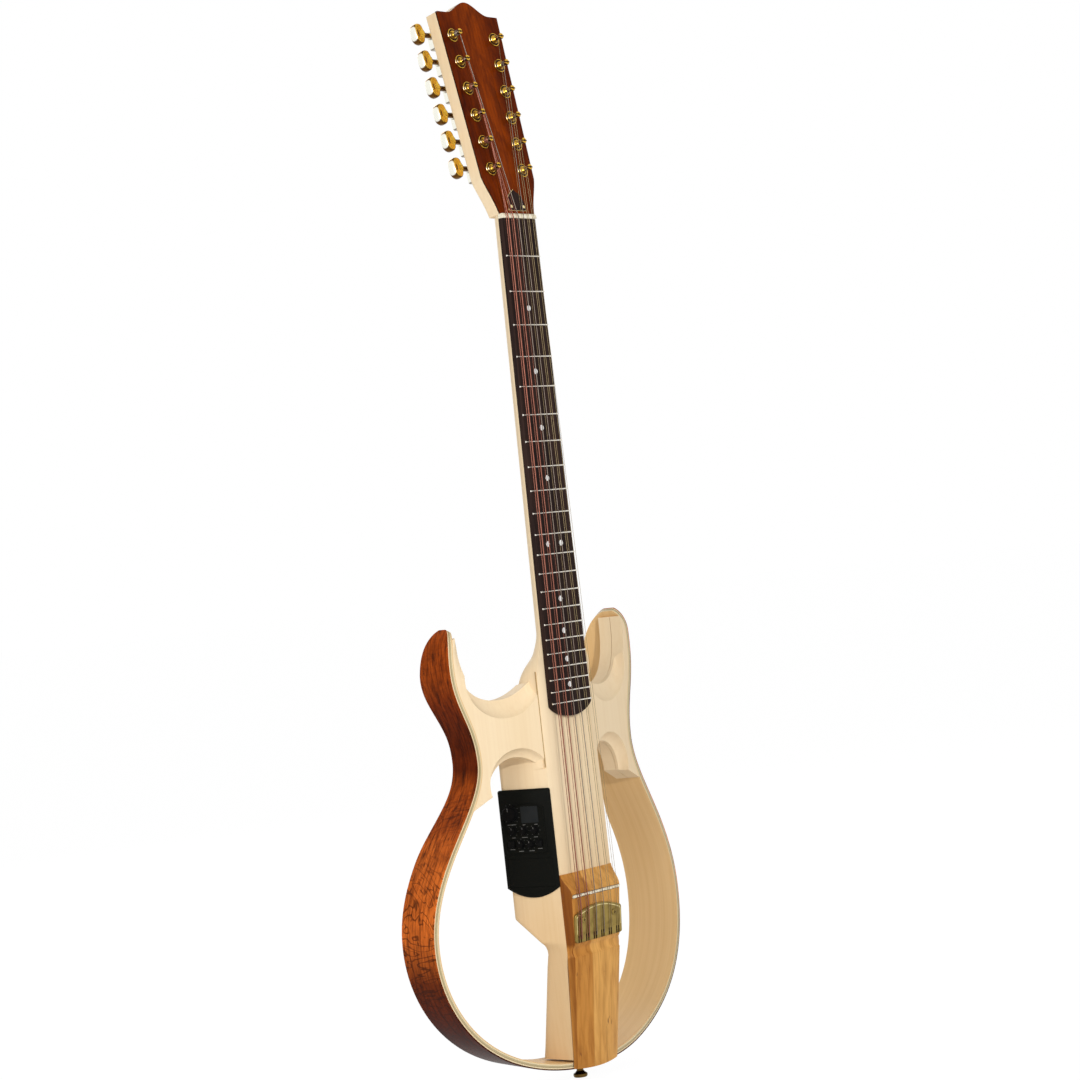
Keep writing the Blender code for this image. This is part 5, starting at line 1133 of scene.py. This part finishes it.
def tailpiece():
    place = tailpiece_frame()
    body = plate("tailpiece_plate", tailpiece_shape(), 0.0, 0.0020, OLD_GOLD, "old_gold", place,
                 stands=("tailpiece",))
    slots = Batch()
    painted_slot_shades = Batch()
    for number, nut_x, x, radius in string_rows():
        slots.box((x - 0.0010, -0.002, -0.001), (x + 0.0010, 0.0070, 0.004), place)
        # Dark boxes in the slots paint the shade inside them.
        painted_slot_shades.box((x - 0.0010, -0.0002, -0.0002), (x + 0.0010, 0.0072, 0.0012), place)
    slots.cut(body)
    bevel(body, 0.00035)
    painted_slot_shades.make("tailpiece_holes", DARK_LINE, "old_gold")
    foot, low, high = 0.0085, 0.0019, 0.00225
    outer, inner = ([Vector((p.x, max(p.y, foot))) for p in tailpiece_shape(inset)]
                    for inset in (0.0016, 0.0023))
    loft("tailpiece_border", levels((outer, low), (outer, high), (inner, high), (inner, low)),
         BRIGHT_GOLD, "old_gold", closed=True, place=place)
    head = ((0.0028, 0.0018), (0.0028, 0.0026), (0.0023, 0.0033), (0.0013, 0.0035))
    for side, name in ((-1, "bass"), (1, "treble")):
        seat = place @ shift(side * 0.0224, 0.0210, 0)
        loft("tailpiece_screw_" + name + "_head", turned_rings(head, 24), OLD_GOLD, "old_gold", place=seat,
             stands=("tailpiece_screw_" + name,))
        # A dark cross paints the shade in the screw head's recess.
        cross = Batch()
        for wide, tall in ((0.0015, 0.0003), (0.0003, 0.0015)):
            cross.box((-wide, -tall, 0.0034), (wide, tall, 0.0036), seat)
        cross.make("screw_cross_shade_" + name, DARK_LINE, "old_gold")


# Strings

def tube_rings(points, radius, sides):
    """A round tube along a line of points, mitred at each bend."""
    first = (points[1] - points[0]).normalized()
    across = first.orthogonal().normalized()
    up = first.cross(across)
    turns = [2 * pi * i / sides for i in range(sides)]
    rings = [[points[0] + (across * cos(a) + up * sin(a)) * radius for a in turns]]
    for i in range(1, len(points)):
        run = (points[i] - points[i - 1]).normalized()
        face = run
        if i < len(points) - 1:
            face = (run + (points[i + 1] - points[i]).normalized()).normalized()
        rings.append([c + run * ((points[i] - c).dot(face) / run.dot(face)) for c in rings[-1]])
    return rings


def post_place(side, row):
    """Places of a tuner's post across and along the headstock."""
    return side * (TUNER_HALF_FIRST + TUNER_HALF_STEP * (row - 1)), TUNER_FIRST + TUNER_PITCH * (row - 1)


def string_wrap(name, side, row, radius, look):
    """Three turns of the string round its post."""
    across, along = post_place(side, row)
    reach = POST_WAIST + radius
    turns = 3
    steps = 16 * turns
    coil = []
    for i in range(steps + 1):
        angle = 2 * pi * i / 16
        height = WRAP_TOP - 0.00002 - (2.1 * radius * turns) * i / steps
        coil.append(Vector((-side * reach * cos(angle), reach * sin(angle), height)))
    loft("string_wrap_" + name, tube_rings(coil, radius, 8), look, "steel", body="tuner_post_" + name,
         place=head_frame() @ shift(across, along, 0))


def strings():
    place = tailpiece_frame()
    kinds = {"copper": (COPPER_WOUND, Batch(), ("strings",)), "wound": (STEEL_WOUND, Batch(), ()),
             "plain": (STRING_STEEL, Batch(), ())}
    for number, nut_x, x, radius in string_rows():
        side, row = (-1, number) if number <= 6 else (1, 13 - number)
        across, along = post_place(side, row)
        clear = 0.0002 + radius
        points = [place @ Vector((x, 0.0040, -0.0016)), place @ Vector((x, 0.0040, 0.0020 + clear)),
                  place @ Vector((x, 0.0335, 0.0023 + clear)), Vector((x, SADDLE_TOP - radius, SADDLE_Z)),
                  Vector((nut_x, -0.0006 - radius, 0.0012)),
                  head_frame() @ Vector((across - side * (POST_WAIST + radius), along, WRAP_TOP))]
        if radius > 0.00033:
            kind = "copper" if number <= 4 else "wound"
        else:
            kind = "copper" if number <= 6 else "plain"
        look, group, stands = kinds[kind]
        group.add(tube_rings(points, radius, 10))
        string_wrap("%s_%d" % ("bass" if side < 0 else "treble", row), side, row, radius, look)
    for kind, (look, group, stands) in kinds.items():
        group.make("strings_" + kind, look, "steel", stands=stands, angle=1.0)


# Tuners

def rounded_box(low, high, radius):
    """Rings of a box whose corners along Z are round and whose lower end is softened."""
    (x0, y0, z0), (x1, y1, z1) = low, high
    r = radius
    rings = []
    for height, inset in ((z0, r * 0.7), (z0 + r * 0.3, r * 0.2), (z0 + r, 0.0), (z1, 0.0)):
        shape = []
        for cx, cy, first in ((x1 - r, y0 + r, -90), (x1 - r, y1 - r, 0), (x0 + r, y1 - r, 90),
                              (x0 + r, y0 + r, 180)):
            shape += arc(cx, cy, r - inset, first, 3)
        rings += levels((shape, height))
    return rings


def upside_down(rings, top):
    return [[Vector((v.x, v.y, top - v.z)) for v in ring] for ring in rings]


def button_rings():
    """A grip like a kidney: narrow at the shaft, broad outside, soft edges, dished faces."""
    half = bezier((-0.0066, 0.0026), (-0.0040, 0.0034), (-0.0052, 0.0104), (-0.0002, 0.0104), 10)
    half += bezier((-0.0002, 0.0104), (0.0034, 0.0104), (0.0062, 0.0084), (0.0066, 0.0044), 10, 1)
    half += bezier((0.0066, 0.0044), (0.0067, 0.0030), (0.0068, 0.0014), (0.0068, 0.0), 4, 1)
    shape = half + [Vector((p.x, -p.y)) for p in reversed(half[:-1])]
    heights = ((0.0030, 0.24), (0.0042, 0.80), (0.0040, 0.90), (0.0030, 0.975), (0.0012, 1.0))
    return levels(*[([p * scale for p in shape], -height) for height, scale in heights],
                  *[([p * scale for p in shape], height) for height, scale in reversed(heights)])


def tuner_post(name, seat):
    profile = ((0.0031, 0.0010), (0.0031, 0.0028), (POST_WAIST, 0.0038), (POST_WAIST, 0.0084),
               (0.0028, 0.0092), (0.0030, 0.0096), (0.0030, 0.0107), (0.0026, 0.0112), (0.0012, 0.0112),
               (0.0010, 0.0106))
    loft("post_" + name, turned_rings(profile, 24), GOLD, "gold", body="tuner_post_" + name, place=seat,
         stands=("tuner_post_" + name,))
    # A dark box paints the shade in the slot across the post's top.
    loft("post_slot_shade_" + name, box_rings((-0.0031, -0.0006, 0.0104), (0.0031, 0.0006, 0.01125)), DARK_LINE,
         "gold", body="tuner_post_" + name, place=seat)


def tuner_grip(name, side, collar):
    """The grip with the stem that carries it."""
    grip = Batch()
    grip.add(button_rings(), collar @ shift(side * 0.0260, 0, 0) @ Matrix.Scale(side, 4, Vector((1, 0, 0))))
    stem = ((0.0026, 0.0100), (0.0026, 0.0168), (0.0032, 0.0184), (0.0032, 0.0200), (0.0026, 0.0225))
    grip.turned([(r, side * h) for r, h in stem], 20, collar, "X")
    grip.make("grip_" + name, GOLD, "gold", body="tuner_button_" + name, stands=("tuner_button_" + name,))


def tuners():
    for label, side in (("bass", -1), ("treble", 1)):
        cases = Batch()
        washers = Batch()
        shade_rings = Batch()
        for row in range(1, 7):
            across, along = post_place(side, row)
            seat = head_frame() @ shift(across, along, 0)
            inner, outer = sorted((-side * 0.0062, side * 0.0085))
            cases.add(rounded_box((inner, -0.0072, -0.0257), (outer, 0.0112, -0.0162), 0.0026), seat)
            collar = seat @ shift(0, 0.0070, -0.0200)
            cases.turned([(r, side * h) for r, h in ((0.0040, 0.0075), (0.0040, 0.0094), (0.0034, 0.0106))], 20,
                         collar, "X")
            washers.turned(((0.0068, 0.0001), (0.0070, 0.0005), (0.0067, 0.0011), (0.0061, 0.0012),
                            (0.0057, 0.0008), (0.0047, 0.0008), (0.0044, 0.0018), (0.0038, 0.0023),
                            (0.0031, 0.0022)), 32, seat)
            # A dark ring paints the shade in each washer's dish.
            shade_rings.turned(((0.0058, 0.0008), (0.0058, 0.0010), (0.0047, 0.0010), (0.0047, 0.0008)), 32, seat)
            name = "%s_%d" % (label, row)
            tuner_post(name, seat)
            tuner_grip(name, side, collar)
        cases.make("tuner_cases_" + label, CASE_HIGHLIGHT_GOLD, "gold", stands=("tuner_strip_" + label,))
        shade_rings.make("washer_grooves_" + label, DARK_LINE, "gold")
        washers.make("tuner_washers_" + label, GOLD, "gold")


# Preamp

def panel_frame():
    """The panel's axes: X forwards, Y up and Z out of the bass side, from its upper back corner."""
    outwards = Vector((-1, -FLARE, 0)).normalized()
    forwards = Vector((FLARE, -1, 0)).normalized()
    corner = Vector((-BEAM_HALF, BEAM_FRONT, PANEL_TOP)) - forwards * (PANEL_WIDTH + 0.0006)
    return Matrix.Translation(corner) @ axes(forwards, Vector((0, 0, 1)), outwards)


def panel_shape(inset=0.0):
    """The face plate: small round top corners, a bowed lower edge."""
    r = 0.0022
    low, high = inset, PANEL_WIDTH - inset
    shape = arc(high - r, -inset - r, r, 0, 5) + arc(low + r, -inset - r, r, 90, 5)
    steps = 28
    for i in range(steps + 1):
        share = 2 * i / steps - 1
        shape.append(Vector((mix(low, high, i / steps), inset - 0.0940 - 0.0095 * (1 - share * share))))
    return shape


def tombstone(inset=0.0):
    """The raised field round the controls, with a bowed top."""
    left, right = 0.0038 + inset, 0.0492 - inset
    r = 0.0035
    low = inset - 0.0620
    shape = arc(left + r, low + r, r, 180, 5) + arc(right - r, low + r, r, 270, 5)
    steps = 20
    for i in range(steps + 1):
        share = 1 - 2 * i / steps
        rise = 0.0040 * (1 - share * share) ** 0.8
        shape.append(Vector((mix(right, left, i / steps), rise - 0.0172 - inset)))
    return shape


def button_wells(place):
    """What cuts the wells that the push buttons sink into."""
    wells = Batch()
    half = 0.0035
    for name, (x, drop) in PUSH_BUTTONS:
        wells.box((x - half, -drop - half, 0.0003), (x + half, -drop + half, 0.0060), place)
    return wells


def preamp():
    place = panel_frame()
    face = levels((panel_shape(), 0.0002), (panel_shape(), 0.0013), (panel_shape(0.0009), 0.0021),
                  (panel_shape(0.0016), PANEL_FACE))
    panel = loft("preamp_face", face, BLACK, "black_plastic", stands=("preamp_panel",), place=place)
    pocket = Batch()
    pocket.box((0.00395, -0.09325, 0.0003), (0.05305, -0.06595, 0.004), place)
    pocket.cut(panel)
    button_wells(place).cut(panel)
    field = levels((tombstone(), 0.0020), (tombstone(0.0002), 0.0032), (tombstone(0.0008), 0.0033),
                   (tombstone(0.0012), 0.0027))
    button_wells(place).cut(loft("preamp_field", field, BLACK, "black_plastic", place=place))
    lid = rounded_box((0.0041, -0.0931, 0.0006), (0.0529, -0.0661, 0.0025), 0.0012)
    bevel(loft("battery_lid", lid, BLACK, "black_plastic", body="battery_door", stands=("battery_door",),
               place=place), 0.0002, 1)
    loft("display_glass", rounded_box((0.0238, -0.0320, 0.0022), (0.0424, -0.0162, 0.0029), 0.0006), GLASS,
         "dark_glass", stands=("display_window",), place=place)
    for name, seat, scale_radius in KNOBS:
        if name == "volume_knob":
            knob(name, seat, 0.0080, 0.0065, 30)
        else:
            knob(name, seat, 0.0039, 0.0042, 18)
    for name, (x, drop) in PUSH_BUTTONS:
        cap = upside_down(rounded_box((-0.0033, -0.0033, -0.0018), (0.0033, 0.0033, 0.0018), 0.0008), 0.0010)
        loft(name + "_cap", cap, BLACK_SMOOTH, "black_plastic", body=name, stands=(name,),
             place=place @ shift(x, -drop, PANEL_FACE))
    marks(place)
    socket()


def knob(name, seat, radius, height, lobes):
    """A fluted knob with its pointer line."""
    place = panel_frame() @ shift(seat[0], -seat[1], PANEL_FACE)
    rings = []
    angles = [2 * pi * i / (lobes * 4) for i in range(lobes * 4)]
    for scale, z, ripple in ((1.0, 0.0003, 0.0), (1.0, height * 0.25, 0.0), (0.93, height * 0.30, 0.05),
                             (0.86, height - 0.0006, 0.05), (0.80, height, 0.0), (0.40, height - 0.0001, 0.0)):
        reach = [radius * scale * (1 - ripple * (0.5 + 0.5 * cos(lobes * a))) for a in angles]
        rings.append([Vector((r * cos(a), r * sin(a), z)) for r, a in zip(reach, angles)])
    loft(name + "_grip", rings, BLACK_SMOOTH, "black_plastic", body=name, stands=(name,), place=place)
    pointer = box_rings((-0.0002, radius * 0.35, height), (0.0002, radius * 0.78, height + 0.0001))
    loft(name + "_pointer", pointer, MARK, "black_plastic", body=name, place=place)


def marks(place):
    """Plain scale ticks and dashes beside the controls."""
    ticks = Batch()
    level = 0.00275
    paint = 0.00005
    for name, (x, drop), radius in KNOBS:
        count = 11 if name == "volume_knob" else 7
        for i in range(count):
            angle = radians(mix(-140, 140, i / (count - 1)))
            seat = place @ shift(x, -drop, level) @ Matrix.Rotation(-angle, 4, "Z")
            ticks.box((-0.00012, radius - 0.0003, 0.0), (0.00012, radius + 0.0004, paint), seat)
    for x, y, width in ((0.0137, 0.0455, 0.0036), (0.0257, 0.0455, 0.0062), (0.0377, 0.0455, 0.0042),
                        (0.0113, 0.0566, 0.0052), (0.0412, 0.0566, 0.0050), (0.0205, 0.0585, 0.0050),
                        (0.0320, 0.0585, 0.0056), (0.0130, 0.0330, 0.0095), (0.0262, 0.0335, 0.0030),
                        (0.0395, 0.0335, 0.0030)):
        ticks.box((x - width / 2, -y - 0.00035, level), (x + width / 2, -y + 0.00010, level + paint), place)
    ticks.make("panel_marks", MARK, "black_plastic")


def socket():
    """The black plate under the housing with its round socket."""
    front = Vector((0, 0.0360, -0.6930))
    back = Vector((0, 0.0625, -0.6700))
    along = (back - front).normalized()
    outwards = Vector((0, along.z, -along.y))
    across = Vector((1, 0, 0))
    place = Matrix.Translation((front + back) / 2) @ axes(across, outwards.cross(across), outwards)
    cover = upside_down(rounded_box((-0.0240, -0.0100, 0.0), (0.0240, 0.0100, 0.0020), 0.0018), 0.0023)
    loft("jack_cover", cover, BLACK, "black_plastic", stands=("output_jack",), place=place)
    ring = ((0.0062, 0.0022), (0.0062, 0.0036), (0.0052, 0.0042), (0.0036, 0.0042), (0.0034, 0.0026))
    loft("jack_ring", turned_rings(ring, 24), STEEL, "steel", place=place)


def strap_pin():
    place = shift(0, 0.0420, TAIL_Z) @ Matrix.Rotation(pi, 4, "X")
    profile = ((0.0052, 0.0), (0.0050, 0.0013), (0.0036, 0.0030), (0.0032, 0.0046), (0.0034, 0.0068),
               (0.0050, 0.0086), (0.0068, 0.0098), (0.0070, 0.0112), (0.0064, 0.0128), (0.0040, 0.0132),
               (0.0022, 0.0124))
    loft("strap_button", turned_rings(profile, 32), DARK_GOLD, "old_gold", place=place,
         stands=("tail_strap_pin",))


bpy.context.scene.view_settings.view_transform = "Standard"
camera()
neck_and_beam()
headstock()
fingerboard()
wings()
painted_step_shadows()
rim()
tail_block()
saddle()
tailpiece()
strings()
tuners()
preamp()
strap_pin()

for node_name, node_look in (("truss_rod", STEEL), ("piezo_pickup", STEEL), ("battery", BLACK_SMOOTH)):
    node_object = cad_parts[node_name]
    for node_slot in node_object.material_slots:
        node_slot.material = node_look

studio()
floor()
